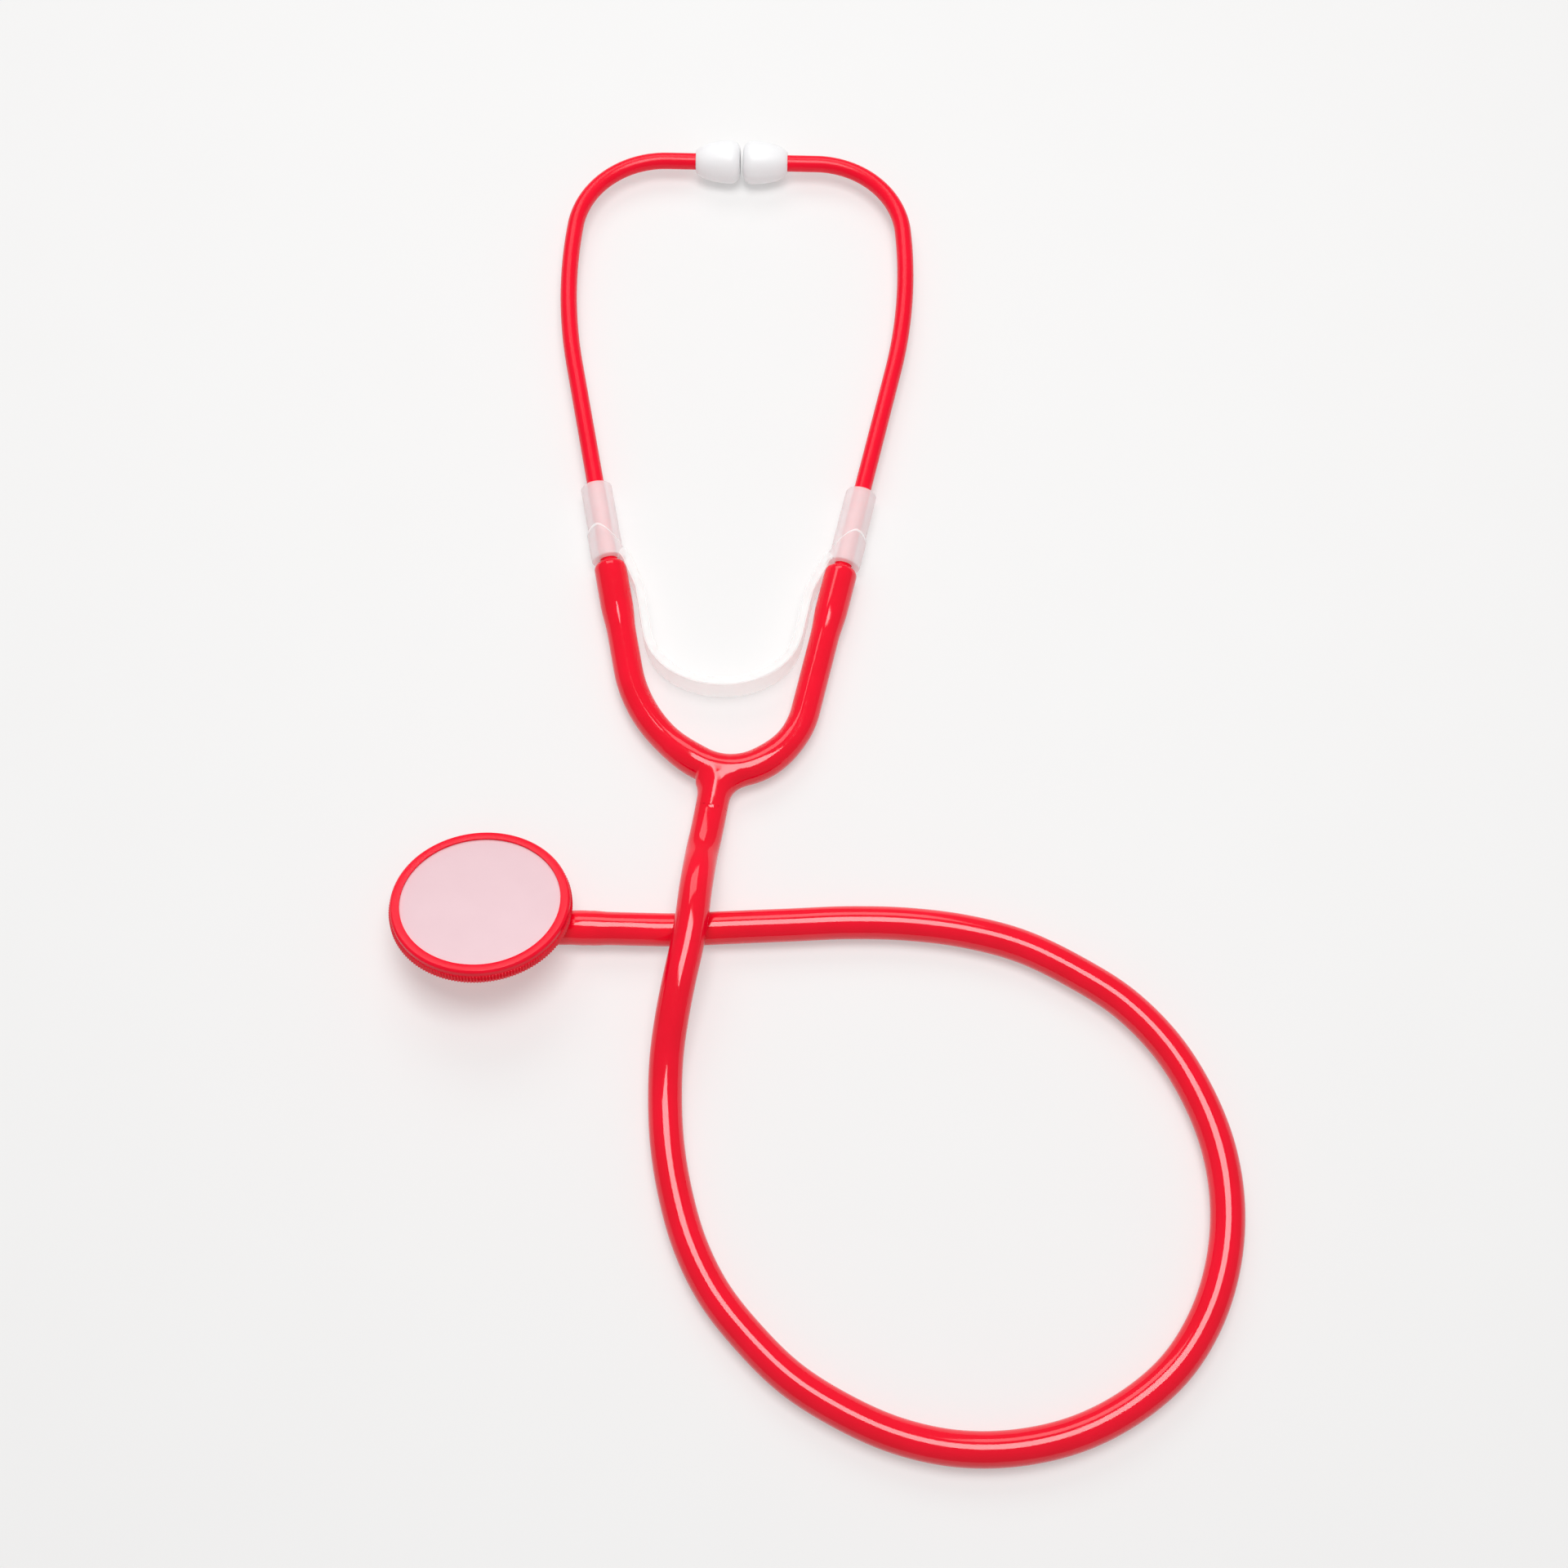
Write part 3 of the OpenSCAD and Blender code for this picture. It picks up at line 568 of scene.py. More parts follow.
def sleeve(side):
    """A soft sleeve on the ear tube: thicker below an arched line that runs down to the band."""
    way = 1 if side == "right" else -1
    a = math.radians(SIDE_ANGLE)
    thick, thin, bore = SLEEVE_D / 2, SLEEVE_D / 2 - SLEEVE_THIN, TUBE_D / 2 + TURN_GAP

    def arch(x):
        """Height of the arched line, from the outer side (x = 1) to the inner one."""
        if x > ARCH_AT:
            return ARCH_TOP - OUTER_FALL * ((x - ARCH_AT) / (1 - ARCH_AT)) ** OUTER_POWER
        return ARCH_TOP - INNER_FALL * ((ARCH_AT - x) / (1 + ARCH_AT)) ** INNER_POWER

    def place(x, y, h):
        line = arch(x / thick)
        if h < SLEEVE_STEP:
            h = h * line / SLEEVE_STEP
        else:
            h = line + (h - SLEEVE_STEP) * (SLEEVE_LEN - line) / (SLEEVE_LEN - SLEEVE_STEP)
        px, py = forward(SLEEVE_FOOT, h, SIDE_ANGLE)
        return in_headset(way * (px + x * math.cos(a)), py - x * math.sin(a), y)

    outline = [(bore, 0), (thick, 0)] + [(thick, h) for h in range(1, SLEEVE_STEP)]
    outline += [(thin, h) for h in range(SLEEVE_STEP + 1, SLEEVE_RINGS)]
    outline = softened(outline + [(thin, SLEEVE_LEN), (bore, SLEEVE_LEN)], SLEEVE_SOFT, steps=4, closed=True)
    cut = next(i for i, (r, h) in enumerate(outline) if h > SLEEVE_STEP - BEAD_BELOW)
    bead = [(thick + out, SLEEVE_STEP + h) for out, h in BEAD_OUT] + [(thin, SLEEVE_STEP + BEAD_IN)]
    outline = outline[:cut] + bead + [(r, h) for r, h in outline[cut:] if h > SLEEVE_STEP + BEAD_ABOVE]
    deselect()
    bpy.ops.mesh.primitive_circle_add(vertices=SLEEVE_SIDES, radius=MM, fill_type="NOTHING")
    piece = bpy.context.object
    bpy.ops.object.mode_set(mode="EDIT")
    bpy.ops.mesh.select_all(action="SELECT")
    bpy.ops.mesh.select_mode(type="EDGE")
    for k in range(len(outline)):
        if k:
            bpy.ops.mesh.extrude_edges_move(TRANSFORM_OT_translate={"value": (0, 0, 0)})
        bpy.ops.object.mode_set(mode="OBJECT")
        ring = [v for v in piece.data.vertices if v.select]
        for j, vertex in enumerate(ring):
            r, h = outline[k]
            b = math.tau * j / SLEEVE_SIDES
            vertex.co = place(r * math.cos(b), r * math.sin(b), h)
        bpy.ops.object.mode_set(mode="EDIT")
    bpy.ops.mesh.select_mode(type="VERT")
    bpy.ops.mesh.select_all(action="DESELECT")
    bpy.ops.mesh.select_non_manifold()
    bpy.ops.mesh.bridge_edge_loops()
    bpy.ops.object.mode_set(mode="OBJECT")
    # The bead's rings get the painted highlight of the moulded edges
    mark_highlight_edges(piece, [outline[v.index // SLEEVE_SIDES][0] > thick + BEAD_SEEN for v in piece.data.vertices])
    tidy_mesh(piece)
    piece = finished(piece, side + "_sleeve_skin", ROUND_ANGLE)
    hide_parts(side + "_sleeve")
    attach(piece, side + "_side")
    return piece


# Rounding of the band's four long edges, and which points of each rounding are marked as moulded edge, where
# the band gets a painted highlight
BAND_ROUND, BAND_CORNER_STEPS, BAND_HIGHLIGHT_MARKS = 0.55, 5, (2, 3)
BOW_STEPS, CORNER_STEPS, LEG_STEPS, FLARE_STEPS, RUN_STEPS, HOOK_STEPS, END_STEPS = 16, 14, 7, 6, 5, 8, 3
# The band gets lower by this share between these heights, where it runs into its sleeve
BAND_TOP_SHARE, BAND_TOP_RUN, BAND_END_GAP = 0.16, (50, 61), 0.9


def band_line():
    """Places and headings along the right half of the band, from its middle to the sleeve."""
    foot = (0, BAND_RISE)
    bow_top = turned(foot, BAND_BOW_R, 90, BAND_BOW_ANGLE)
    corner_top = turned(bow_top, BAND_CORNER_R, BAND_BOW_ANGLE, BAND_LEAN)
    leg_top = forward(corner_top, BAND_LEG, BAND_LEAN)
    flare_foot = turned_out(leg_top, BAND_FLARE_R, BAND_LEAN, BAND_FLARE)
    flare_top = forward(flare_foot, BAND_FLARE_RUN, BAND_FLARE)
    hook_foot = turned_out(flare_top, BAND_FLARE_R, BAND_FLARE, BAND_HOOK)
    a = math.radians(BAND_HOOK - SIDE_ANGLE)
    hook_run = off_side((SLEEVE_FOOT[0] - hook_foot[0], SLEEVE_FOOT[1] - hook_foot[1])) / math.sin(a)
    out = [(foot, 90)]

    def along(curve, start, r, first, last, steps):
        for k in range(1, steps + 1):
            angle = first + (last - first) * k / steps
            out.append((curve(start, r, first, angle), angle))

    def ahead(start, run, angle, steps):
        out.extend((forward(start, run * k / steps, angle), angle) for k in range(1, steps + 1))

    along(turned, foot, BAND_BOW_R, 90, BAND_BOW_ANGLE, BOW_STEPS)
    along(turned, bow_top, BAND_CORNER_R, BAND_BOW_ANGLE, BAND_LEAN, CORNER_STEPS)
    ahead(corner_top, BAND_LEG, BAND_LEAN, LEG_STEPS)
    along(turned_out, leg_top, BAND_FLARE_R, BAND_LEAN, BAND_FLARE, FLARE_STEPS)
    ahead(flare_foot, BAND_FLARE_RUN, BAND_FLARE, RUN_STEPS)
    along(turned_out, flare_top, BAND_FLARE_R, BAND_FLARE, BAND_HOOK, HOOK_STEPS)
    reach = hook_run - (SLEEVE_D / 2 - BAND_END_GAP) / math.sin(a)
    if reach > 0:
        ahead(hook_foot, reach, BAND_HOOK, END_STEPS)
    return out


def band(side):
    """Half of the flat tension band, on edge, from the middle to its sleeve."""
    way = 1 if side == "right" else -1
    stations = band_line()
    t, h, r = BAND_T / 2, BAND_H / 2, BAND_ROUND
    angles = [math.radians(90 * k / BAND_CORNER_STEPS) for k in range(BAND_CORNER_STEPS + 1)]
    corner = [(t - r + r * math.sin(b), h - r + r * math.cos(b)) for b in angles]
    section = corner + [(x, -z) for x, z in reversed(corner)]
    section += [(-x, -z) for x, z in corner] + [(-x, z) for x, z in reversed(corner)]
    deselect()
    bpy.ops.mesh.primitive_circle_add(vertices=len(section), radius=MM, fill_type="NOTHING")
    piece = bpy.context.object

    def ring(station):
        (x, y), heading = station
        a = math.radians(heading)
        low = 1 - BAND_TOP_SHARE * float(smooth(y, *BAND_TOP_RUN))
        return [in_headset(way * (x + u * math.cos(a)), y - u * math.sin(a), w * low) for u, w in section]

    for vertex, place in zip(piece.data.vertices, ring(stations[0])):
        vertex.co = place
    bpy.ops.object.mode_set(mode="EDIT")
    bpy.ops.mesh.select_all(action="SELECT")
    bpy.ops.mesh.select_mode(type="EDGE")
    for station in stations[1:]:
        bpy.ops.mesh.extrude_edges_move(TRANSFORM_OT_translate={"value": (0, 0, 0)})
        bpy.ops.object.mode_set(mode="OBJECT")
        new = [v for v in piece.data.vertices if v.select]
        for vertex, place in zip(new, ring(station)):
            vertex.co = place
        bpy.ops.object.mode_set(mode="EDIT")
    bpy.ops.mesh.edge_face_add()
    bpy.ops.mesh.select_mode(type="VERT")
    bpy.ops.object.mode_set(mode="OBJECT")
    # Points on the rounded long edges get the painted highlight
    mark_highlight_edges(piece, [v.index % len(section) % len(corner) in BAND_HIGHLIGHT_MARKS for v in piece.data.vertices])
    tidy_mesh(piece)
    piece = finished(piece, side + "_band_skin", ROUND_ANGLE)
    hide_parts("tension_band")
    end = stations[-1][0]
    in_headset(0, BAND_RISE)
    in_headset(way * end[0], end[1])
    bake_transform(piece)
    return piece


SLEEVES = [sleeve("left"), sleeve("right")]
BANDS = [band("left"), band("right")]


# Ear tips: shares of the tip's radius and of its length, from the tube's side to the rounded end
TIP_OUTLINE = [
    (0.5, 0), (0.6, 0.05), (0.74, 0.15), (0.86, 0.3), (0.93, 0.45), (0.98, 0.6), (1, 0.74),
    (0.98, 0.84), (0.91, 0.91), (0.8, 0.96), (0.66, 0.99), (0.54, 1),
]
# The lip of the mouth: how far out of the mouth's wall, and how far below the tip's end
TIP_LIP = [(0.7, 0.02), (0.3, 0.15), (0.05, 0.5), (0, 1)]
TIP_STEP, TIP_STEPS, SEAT_SPARE, SEAT_BEVEL, SEAT_EDGE = 0.35, 96, 0.05, 0.2, 0.3
TUBE_SIDES, TUBE_RUN_STEPS, TUBE_BOW_STEPS, TUBE_BEND_STEPS, TUBE_END_STEPS = 48, 12, 18, 28, 5


def ear_tip(side):
    """A soft bell with a rounded lip, an open mouth and a socket for the tube."""
    way = 1 if side == "right" else -1

    def place(x, y, z):
        return in_headset(way * (TIPS_APART / 2 + TIP_LEN - z), CROWN[1] + x, y)

    bell = [(r * TIP_D / 2, h * TIP_LEN, 0) for r, h in TIP_OUTLINE]
    outer = [tuple(p)[:2] for p in smooth_line(bell, TIP_STEP)]
    mouth, socket = TIP_MOUTH_D / 2, TUBE_D / 2 + TURN_GAP
    lip = [(mouth + out, TIP_LEN - below) for out, below in TIP_LIP]
    seat = TIP_SEAT + SEAT_SPARE
    inner = [(mouth, TIP_SEAT + 1), (mouth, seat), (socket, seat), (socket, TIP_SEAT / 2),
             (socket, SEAT_EDGE), (socket + SEAT_BEVEL, 0)]
    piece = lathe(outer + lip + inner, place, TIP_STEPS, closed=True)
    piece = finished(piece, side + "_ear_tip_skin", ROUND_ANGLE)
    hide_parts(side + "_ear_tip")
    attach(piece, side + "_ear")
    return piece


def ear_tube(side):
    """One hard ear tube: straight from its seat in the arm, bowed gently in, then bent across to the tip."""
    way = 1 if side == "right" else -1
    places = [forward(ARM_TOP, run, SIDE_ANGLE) for run in (-TUBE_SEAT, -TUBE_SEAT / 2, 0)]
    for k in range(1, TUBE_RUN_STEPS + 1):
        places.append(forward(ARM_TOP, TUBE_RUN * k / TUBE_RUN_STEPS, SIDE_ANGLE))
    for k in range(1, TUBE_BOW_STEPS + 1):
        heading = SIDE_ANGLE - (SIDE_ANGLE + TUBE_LEAN) * k / TUBE_BOW_STEPS
        places.append(turned(RUN_END, TUBE_BOW_R, SIDE_ANGLE, heading))
    for k in range(1, TUBE_BEND_STEPS + 1):
        heading = -TUBE_LEAN - (90 - TUBE_LEAN) * k / TUBE_BEND_STEPS
        places.append(turned(BOW_END, TUBE_BEND_R, -TUBE_LEAN, heading))
    end = TIPS_APART / 2 + TIP_LEN - TIP_SEAT
    for k in range(1, TUBE_END_STEPS + 1):
        places.append((CROWN[0] - (CROWN[0] - end) * k / TUBE_END_STEPS, CROWN[1]))
    line = [in_headset(way * x, y) for x, y in places]
    piece = finished(tube(line, [TUBE_D / 2] * len(line), TUBE_SIDES), side + "_ear_tube_skin", ROUND_ANGLE)
    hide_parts(side + "_ear_tube")
    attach(piece, side + "_ear")
    return piece


TIPS = [ear_tip("left"), ear_tip("right")]
TUBES = [ear_tube("left"), ear_tube("right")]


# Chestpiece: the ribs' share of the ring's height, half their depth, their ends and how flat their tops are
RIB_SHARE, RIB_OUT, RIB_FOOT, RIB_LEAD, RIB_FLAT, RIB_START = 0.58, 0.2, 0.15, 0.12, 1.3, 0.3
# Rounding of each piece's corners
RING_SOFT, EDGE_SLOPE, FILM_SOFT, CHEST_SOFT, TURNED_STEPS = 0.12, 0.5, 0.1, 0.25, 128
# The hollow behind the film
BELL_DEPTH, BELL_R, CURVE_STEP = 2.2, 2, 0.7
# Radii of the hub's neck, in hub radii, and heights in plate heights
HUB_NECK = [(1, 0), (1.12, 0.5), (1.5, 0.84), (2.3, 1)]
BOSS_R, BOSS_ROUND, BOSS_FOOT, BOSS_SIDES = 4, 0.6, 6, 64


def ribbed_ring():
    """The ring: a flat lip, a smooth band, a ribbed band, and the groove and thread bore inside."""
    band_r = RING_R - RIB_DEEP
    groove_top = FACE_H + TURN_GAP
    seat = FACE_H - FILM_T - TURN_GAP
    ledge_foot = seat - LEDGE_W
    rib_top = RING_FOOT + RIB_SHARE * RING_H
    outline = [
        (THREAD_BORE_R, RING_FOOT), (band_r + RIB_OUT / 4, RING_FOOT),
        (band_r + RIB_OUT, RING_FOOT + RIB_FOOT), (band_r + RIB_OUT, rib_top - RIB_LEAD), (band_r, rib_top),
        (band_r, RING_TOP - EDGE_SLOPE), (band_r - EDGE_SLOPE, RING_TOP),
        (FACE_R, RING_TOP), (FACE_R, groove_top), (GROOVE_R, groove_top), (GROOVE_R, seat),
        (FILM_R - LEDGE_W, seat), (FILM_R - LEDGE_W, ledge_foot), (THREAD_BORE_R, ledge_foot),
    ]
    piece = lathe(softened(outline, RING_SOFT, closed=True), in_chestpiece, 4 * RIB_COUNT, closed=True)
    centre, out = in_chestpiece(0, 0, 0), in_chestpiece(1, 0, 0)
    ahead = (out - centre) / MM
    aside = (in_chestpiece(0, 1, 0) - centre) / MM
    up = (in_chestpiece(0, 0, 1) - centre) / MM
    for vertex in piece.data.vertices:
        v = vertex.co - centre
        x, y, h = v.dot(ahead) / MM, v.dot(aside) / MM, v.dot(up) / MM
        r = math.hypot(x, y)
        if r > band_r + RIB_START * RIB_OUT and h < rib_top:
            wave = math.cos(math.atan2(y, x) * RIB_COUNT)
            deep = (r - band_r) / RIB_OUT
            new = band_r + deep * (RIB_OUT + RIB_OUT * max(-1, min(1, RIB_FLAT * wave)))
            vertex.co = centre + (ahead * x * new / r + aside * y * new / r + up * h) * MM
    piece = finished(piece, "ring_skin", TURNED_ANGLE)
    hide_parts("diaphragm_ring")
    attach(piece, "ring")
    return piece


def film():
    """The diaphragm, a thin disc with a soft edge."""
    foot = FACE_H - FILM_T
    outline = [(0, foot), (FILM_R, foot), (FILM_R, FACE_H), (0, FACE_H)]
    piece = lathe(softened(outline, FILM_SOFT), in_chestpiece, TURNED_STEPS)
    piece = finished(piece, "film_skin", TURNED_ANGLE)
    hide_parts("diaphragm")
    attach(piece, "film")
    return piece


def chest_body():
    """The hollow bell on its round hub, and the boss for the stem."""
    hub, plate = AXIS_Z, AXIS_Z + 2 * PASS_GAP
    thread_r, seat = THREAD_BORE_R - 2 * TURN_GAP, FACE_H - FILM_T - TURN_GAP
    rim_r = FILM_R - LEDGE_W - 2 * TURN_GAP
    shoulder = seat - LEDGE_W - 2 * TURN_GAP
    quarter = [math.radians(a) for a in range(0, 91, 9)]
    outline = [(hub * math.sin(a), -hub * math.cos(a)) for a in quarter]
    neck = [(r * hub, h * plate, 0) for r, h in HUB_NECK]
    outline += [tuple(q)[:2] for q in smooth_line(neck, CURVE_STEP)[1:]]
    rim = [(neck[-1][0], plate), (thread_r - RING_WALL, RING_FOOT - TURN_GAP),
           (thread_r, RING_FOOT + EDGE_SLOPE), (thread_r, shoulder), (rim_r, shoulder),
           (rim_r, seat), (rim_r - LEDGE_W, seat), (rim_r - LEDGE_W, seat - FILM_T)]
    outline += softened(rim, CHEST_SOFT)[1:]
    outline += [(BELL_R, seat - BELL_DEPTH), (0, seat - BELL_DEPTH)]
    body = lathe(outline, in_chestpiece, TURNED_STEPS)
    runs = [0, BOSS_FOOT] + [BOSS_REACH - BOSS_ROUND + BOSS_ROUND * math.sin(a) for a in quarter[::2]]
    radii = [BOSS_R, BOSS_R] + [BOSS_R - BOSS_ROUND + BOSS_ROUND * math.cos(a) for a in quarter[::2]]
    boss = tube([in_chestpiece(x, 0) for x in runs], radii, BOSS_SIDES)
    deselect()
    boss.select_set(True)
    body.select_set(True)
    bpy.context.view_layer.objects.active = body
    bpy.ops.object.join()
    piece = finished(body, "chest_body_skin", TURNED_ANGLE)
    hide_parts("chest_body")
    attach(piece, "chestpiece")
    return piece


RING = ribbed_ring()
CHEST = chest_body()
FILM = film()


# Finishes
# Where most of a noise's values lie
CLOUD_SPAN, FLOW_SPAN = (0.3, 0.7), (0.35, 0.65)
# How much the wide and the fine noise raise a red skin, and how far its roughness strays
FLOW_SHARE, FINE_SHARE, LESS_ROUGH, MORE_ROUGH = 0.9, 0.1, 0.03, 0.04
# Colour of a painted red glow, an emission that stands in for light scattered through red plastic
PAINTED_RED_GLOW = (0.9, 0.03, 0.03, 1)
# Milky plastic: its darker clouds, how far its see-through share strays, and the painted highlight on its
# moulded edges: how much less see-through, how much whiter and how brightly they glow there
MILKY_SHADE, ALPHA_SPREAD, PAINTED_EDGE_ALPHA = 0.975, 0.04, 0.25
PAINTED_EDGE_WHITE, PAINTED_EDGE_GLOW = (0.97, 0.965, 0.965, 1), (0.85, 0.83, 0.83, 1)
TIP_WHITE, TIP_SHADE = (0.97, 0.965, 0.975, 1), (0.94, 0.935, 0.95, 1)
FILM_PINK, FILM_SHADE = (0.845, 0.61, 0.65, 1), (0.81, 0.575, 0.615, 1)


class Wire:
    """A node's output, which takes part in Python sums by adding Math nodes."""

    def __init__(self, finish, socket):
        self.finish, self.socket = finish, socket

    def _math(self, operation, *values):
        """One Math node that works on two outputs or numbers."""
        return self.finish.add("ShaderNodeMath", {"operation": operation}, dict(enumerate(values)))

    def __add__(self, other): return self._math("ADD", self, other)
    __radd__ = __add__
    def __sub__(self, other): return self._math("SUBTRACT", self, other)
    def __rsub__(self, other): return self._math("SUBTRACT", other, self)
    def __mul__(self, other): return self._math("MULTIPLY", self, other)
    __rmul__ = __mul__


class Finish:
    """A material whose nodes are added one by one."""

    def __init__(self, name):
        self.material = bpy.data.materials.new(name)
        self.material.use_nodes = True
        self.tree = self.material.node_tree
        self.tree.nodes.clear()
        self.coordinates = self.add("ShaderNodeTexCoord", out="Object")

    def add(self, kind, settings=None, inputs=None, out=0):
        """One node with its settings and inputs; it gives back one of the node's outputs."""
        node = self.tree.nodes.new(kind)
        for key, value in (settings or {}).items():
            setattr(node, key, value)
        for key, value in (inputs or {}).items():
            socket = node.inputs[key]
            if isinstance(value, Wire):
                self.tree.links.new(value.socket, socket)
            else:
                socket.default_value = value
        return Wire(self, node.outputs[out])

    def noise(self, scale, detail):
        settings = {"Vector": self.coordinates, "Scale": scale, "Detail": detail}
        return self.add("ShaderNodeTexNoise", {}, settings, out="Fac")

    def mixed(self, share, a, b):
        """Two colours mixed, through the Mix node's sockets for colours."""
        return self.add("ShaderNodeMix", {"data_type": "RGBA"}, {0: share, 6: a, 7: b}, out=2)

    def range(self, value, low, high, to_low, to_high):
        """A value moved from one range to another, and held within it."""
        ends = {"Value": value, "From Min": low, "From Max": high, "To Min": to_low, "To Max": to_high}
        return self.add("ShaderNodeMapRange", {}, ends)

    def bump(self, height, strength, distance):
        return self.add("ShaderNodeBump", {}, {"Height": height, "Strength": strength, "Distance": distance})

    def surface(self, shader):
        output = self.tree.nodes.new("ShaderNodeOutputMaterial")
        self.tree.links.new(shader.socket, output.inputs["Surface"])
        return self.material


def wear(piece, material):
    """Give a piece or a CAD node its finish."""
    piece.data.materials.clear()
    piece.data.materials.append(material)


def red_skin(name, colour, deep, roughness=0.085, mirror=0.62, painted_glow=0):
    """Glossy plastic, with faint flow marks and a slightly wavy skin; its glow is a painted red glow, an
    emission that stands in for light let through the plastic.
    """
    f = Finish(name)
    flow = f.noise(scale=90, detail=3)
    fine = f.noise(scale=700, detail=2)
    base = f.mixed(f.range(flow, *FLOW_SPAN, 0, 1), colour, deep)
    rough = f.range(fine, *CLOUD_SPAN, roughness - LESS_ROUGH, roughness + MORE_ROUGH)
    wavy = f.bump(flow * FLOW_SHARE + fine * FINE_SHARE, strength=0.03, distance=0.0004)
    return f.surface(f.add("ShaderNodeBsdfPrincipled", {}, {
        "Base Color": base, "Roughness": rough, "Normal": wavy, "IOR": 1.45, "Specular IOR Level": mirror,
        "Emission Color": PAINTED_RED_GLOW, "Emission Strength": painted_glow,
    }))


def milky(name, alpha, colour, inner, painted_glow):
    """Milky soft plastic that lets what is under it show; its moulded edges carry a painted highlight,
    whiter, less see-through and glowing, and the whole piece a faint painted glow.
    """
    f = Finish(name)
    cloud = f.noise(scale=160, detail=3)
    edge = f.add("ShaderNodeAttribute", {"attribute_name": "edge"}, out="Fac")
    plain = f.mixed(cloud, colour, tuple(MILKY_SHADE * c for c in colour[:3]) + (1,))
    # Painted highlight along the moulded edges: whiter colour here, and below, less see-through and glowing
    base = f.mixed(edge, plain, PAINTED_EDGE_WHITE)
    rough = f.range(cloud, *CLOUD_SPAN, 0.38, 0.48)
    wavy = f.bump(f.noise(scale=500, detail=3), strength=0.06, distance=0.0001)
    return f.surface(f.add("ShaderNodeBsdfPrincipled", {}, {
        "Base Color": base, "Roughness": rough, "Normal": wavy, "IOR": 1.45,
        "Subsurface Weight": 0.4, "Subsurface Radius": (0.003, 0.002, 0.002), "Subsurface Scale": 1.0,
        "Alpha": f.range(cloud, 0, 1, alpha - ALPHA_SPREAD, alpha + ALPHA_SPREAD) + edge * PAINTED_EDGE_ALPHA,
        # Painted glow: an emission of the inner colour over the whole piece, and of the edge colour on the
        # moulded edges
        "Emission Color": f.mixed(edge, inner, PAINTED_EDGE_GLOW), "Emission Strength": painted_glow,
    }))


def white_rubber(name):
    """Soft white ear tips with a satin skin."""
    f = Finish(name)
    cloud = f.noise(scale=260, detail=3)
    base = f.mixed(cloud, TIP_WHITE, TIP_SHADE)
    rough = f.range(cloud, *CLOUD_SPAN, 0.3, 0.4)
    grain = f.bump(f.noise(scale=1200, detail=2), strength=0.08, distance=0.0002)
    return f.surface(f.add("ShaderNodeBsdfPrincipled", {}, {
        "Base Color": base, "Roughness": rough, "Normal": grain, "IOR": 1.47, "Subsurface Weight": 0.25,
        "Subsurface Radius": (0.002, 0.002, 0.002), "Subsurface Scale": 1.0,
    }))


def thin_film(name):
    """The pale pink film, satin, with faint cloudiness."""
    f = Finish(name)
    cloud = f.noise(scale=120, detail=4)
    base = f.mixed(cloud, FILM_PINK, FILM_SHADE)
    rough = f.range(cloud, *CLOUD_SPAN, 0.36, 0.46)
    grain = f.bump(f.noise(scale=1500, detail=2), strength=0.06, distance=0.0002)
    return f.surface(f.add("ShaderNodeBsdfPrincipled", {}, {
        "Base Color": base, "Roughness": rough, "Normal": grain, "IOR": 1.42,
    }))


RED_VINYL = red_skin("red_vinyl_look", colour=(0.96, 0.0008, 0.024, 1), deep=(0.90, 0.0006, 0.02, 1))
RED_PLASTIC = red_skin("red_plastic_look", colour=(0.97, 0.003, 0.028, 1), deep=(0.92, 0.002, 0.024, 1),
                       roughness=0.22, mirror=0.32)
# The chest body gets a painted red glow, which tints the table under it as light through the plastic would
DEEP_RED = red_skin("deep_red_look", colour=(0.62, 0.002, 0.015, 1), deep=(0.56, 0.001, 0.012, 1),
                    roughness=0.22, mirror=0.4, painted_glow=0.3)
# The sleeves' milky white is tinted pink and glows pink, a painted red glow of the tube inside; the band's
# pale inner glow is painted light that brightens it
SLEEVE_MILKY = milky("sleeve_milky_look", alpha=0.5, colour=(0.95, 0.86, 0.87, 1),
                     inner=(0.65, 0.42, 0.44, 1), painted_glow=0.12)
BAND_MILKY = milky("band_milky_look", alpha=0.4, colour=(0.955, 0.975, 0.965, 1),
                   inner=(0.6, 0.68, 0.66, 1), painted_glow=0.2)
WHITE = white_rubber("white_tip_look")
PINK = thin_film("pink_film_look")

for piece in [HOSE, MIDDLE] + ARMS:
    wear(piece, RED_VINYL)
for piece in SLEEVES:
    wear(piece, SLEEVE_MILKY)
for piece in BANDS:
    wear(piece, BAND_MILKY)
for piece in TIPS:
    wear(piece, WHITE)
for piece in [RING] + TUBES:
    wear(piece, RED_PLASTIC)
wear(CHEST, DEEP_RED)
wear(FILM, PINK)
for piece in [o for o in bpy.data.objects if o.name == "stem"]:
    wear(piece, DEEP_RED)


# Table and light
TABLE_SIZE, TABLE_COLOUR, TABLE_SHADE = 6, (0.93, 0.925, 0.92, 1), (0.915, 0.905, 0.90, 1)
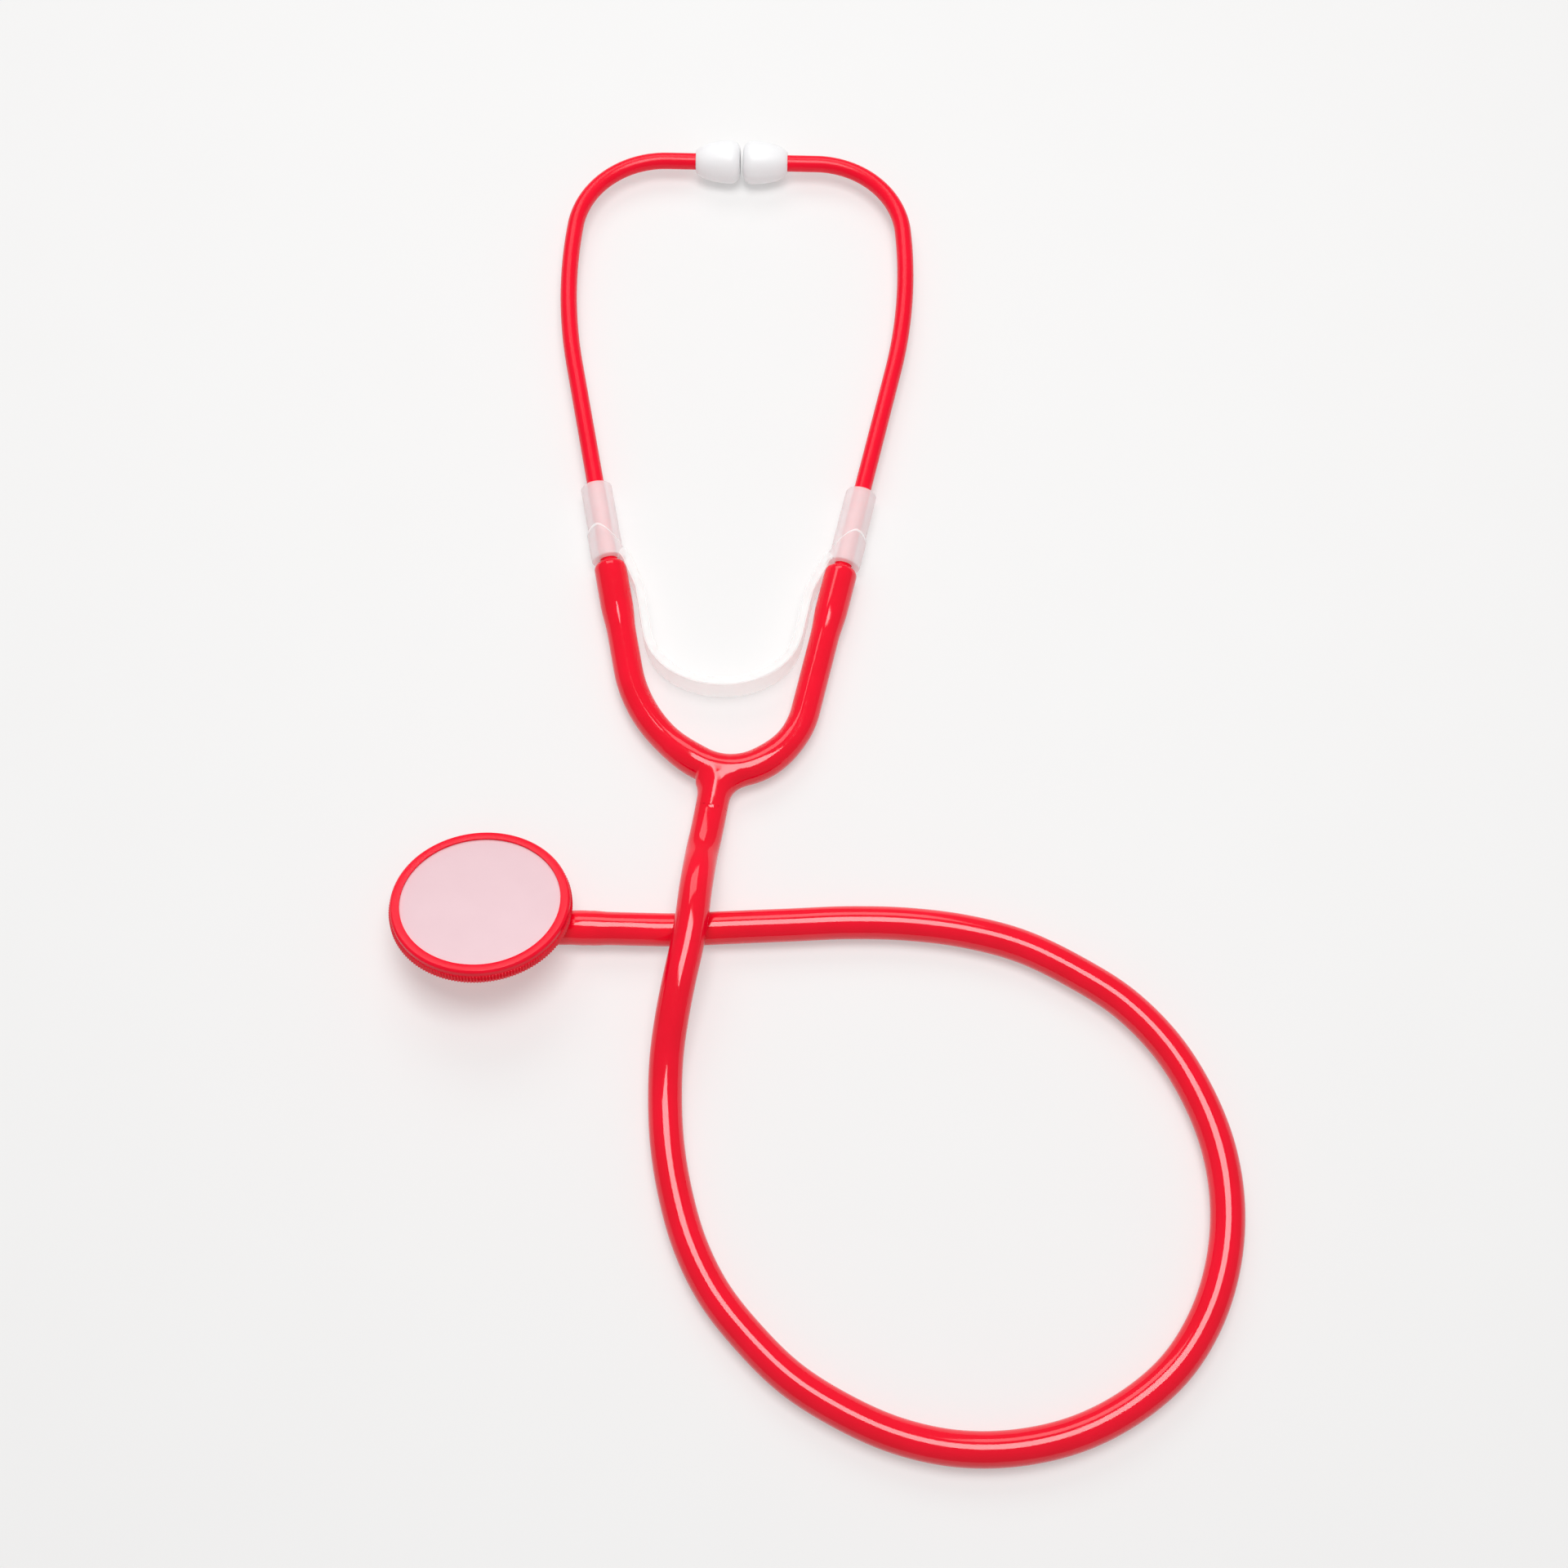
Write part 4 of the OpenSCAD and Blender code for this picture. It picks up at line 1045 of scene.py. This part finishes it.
# How evenly pale the camera sees the table: share and strength of its plain colour
TABLE_SHARE, TABLE_PLAIN = 0.45, 0.95
WORLD_LIGHT = 0.28


def table():
    """The plain pale table, which the camera sees evenly lit and with the toy's shadow."""
    deselect()
    bpy.ops.mesh.primitive_plane_add(size=TABLE_SIZE, location=(0, 0, 0))
    floor = bpy.context.object
    floor.name = "table"
    f = Finish("table_look")
    grain = f.noise(scale=30, detail=3)
    base = f.mixed(grain, TABLE_COLOUR, TABLE_SHADE)
    lit = f.add("ShaderNodeBsdfPrincipled", {}, {
        "Base Color": base, "Roughness": 0.6, "Specular IOR Level": 0.1,
    })
    plain = f.add("ShaderNodeEmission", {}, {"Color": TABLE_COLOUR, "Strength": TABLE_PLAIN})
    seen = f.add("ShaderNodeLightPath", out="Is Camera Ray")
    for ray in ("Is Glossy Ray", "Is Transmission Ray"):
        seen = seen + f.add("ShaderNodeLightPath", out=ray)
    wear(floor, f.surface(f.add("ShaderNodeMixShader", {}, {0: seen * TABLE_SHARE, 1: lit, 2: plain})))


def lamp(name, place, target, size, power):
    """A rectangular lamp that looks at a target."""
    data = bpy.data.lights.new(name, "AREA")
    data.shape, data.size, data.size_y, data.energy = "RECTANGLE", size[0], size[1], power
    light = bpy.data.objects.new(name, data)
    light.location = place
    light.rotation_euler = (Vector(target) - Vector(place)).to_track_quat("-Z", "Y").to_euler()
    bpy.context.scene.collection.objects.link(light)


def studio():
    """Pale surroundings, one soft lamp above the toy and one behind it."""
    world = bpy.data.worlds.new("studio")
    bpy.context.scene.world = world
    world.use_nodes = True
    background = world.node_tree.nodes["Background"]
    background.inputs["Color"].default_value = (1, 1, 1, 1)
    background.inputs["Strength"].default_value = WORLD_LIGHT
    lamp("softbox", place=(0.06, 0.03, 1.05), target=(0.03, -0.03, 0), size=(0.6, 0.5), power=7.5)
    lamp("back_softbox", place=(-0.15, 0.8, 0.85), target=(0.03, 0, 0), size=(0.8, 0.5), power=3.2)
    bpy.context.scene.view_settings.view_transform = "Standard"


table()
studio()
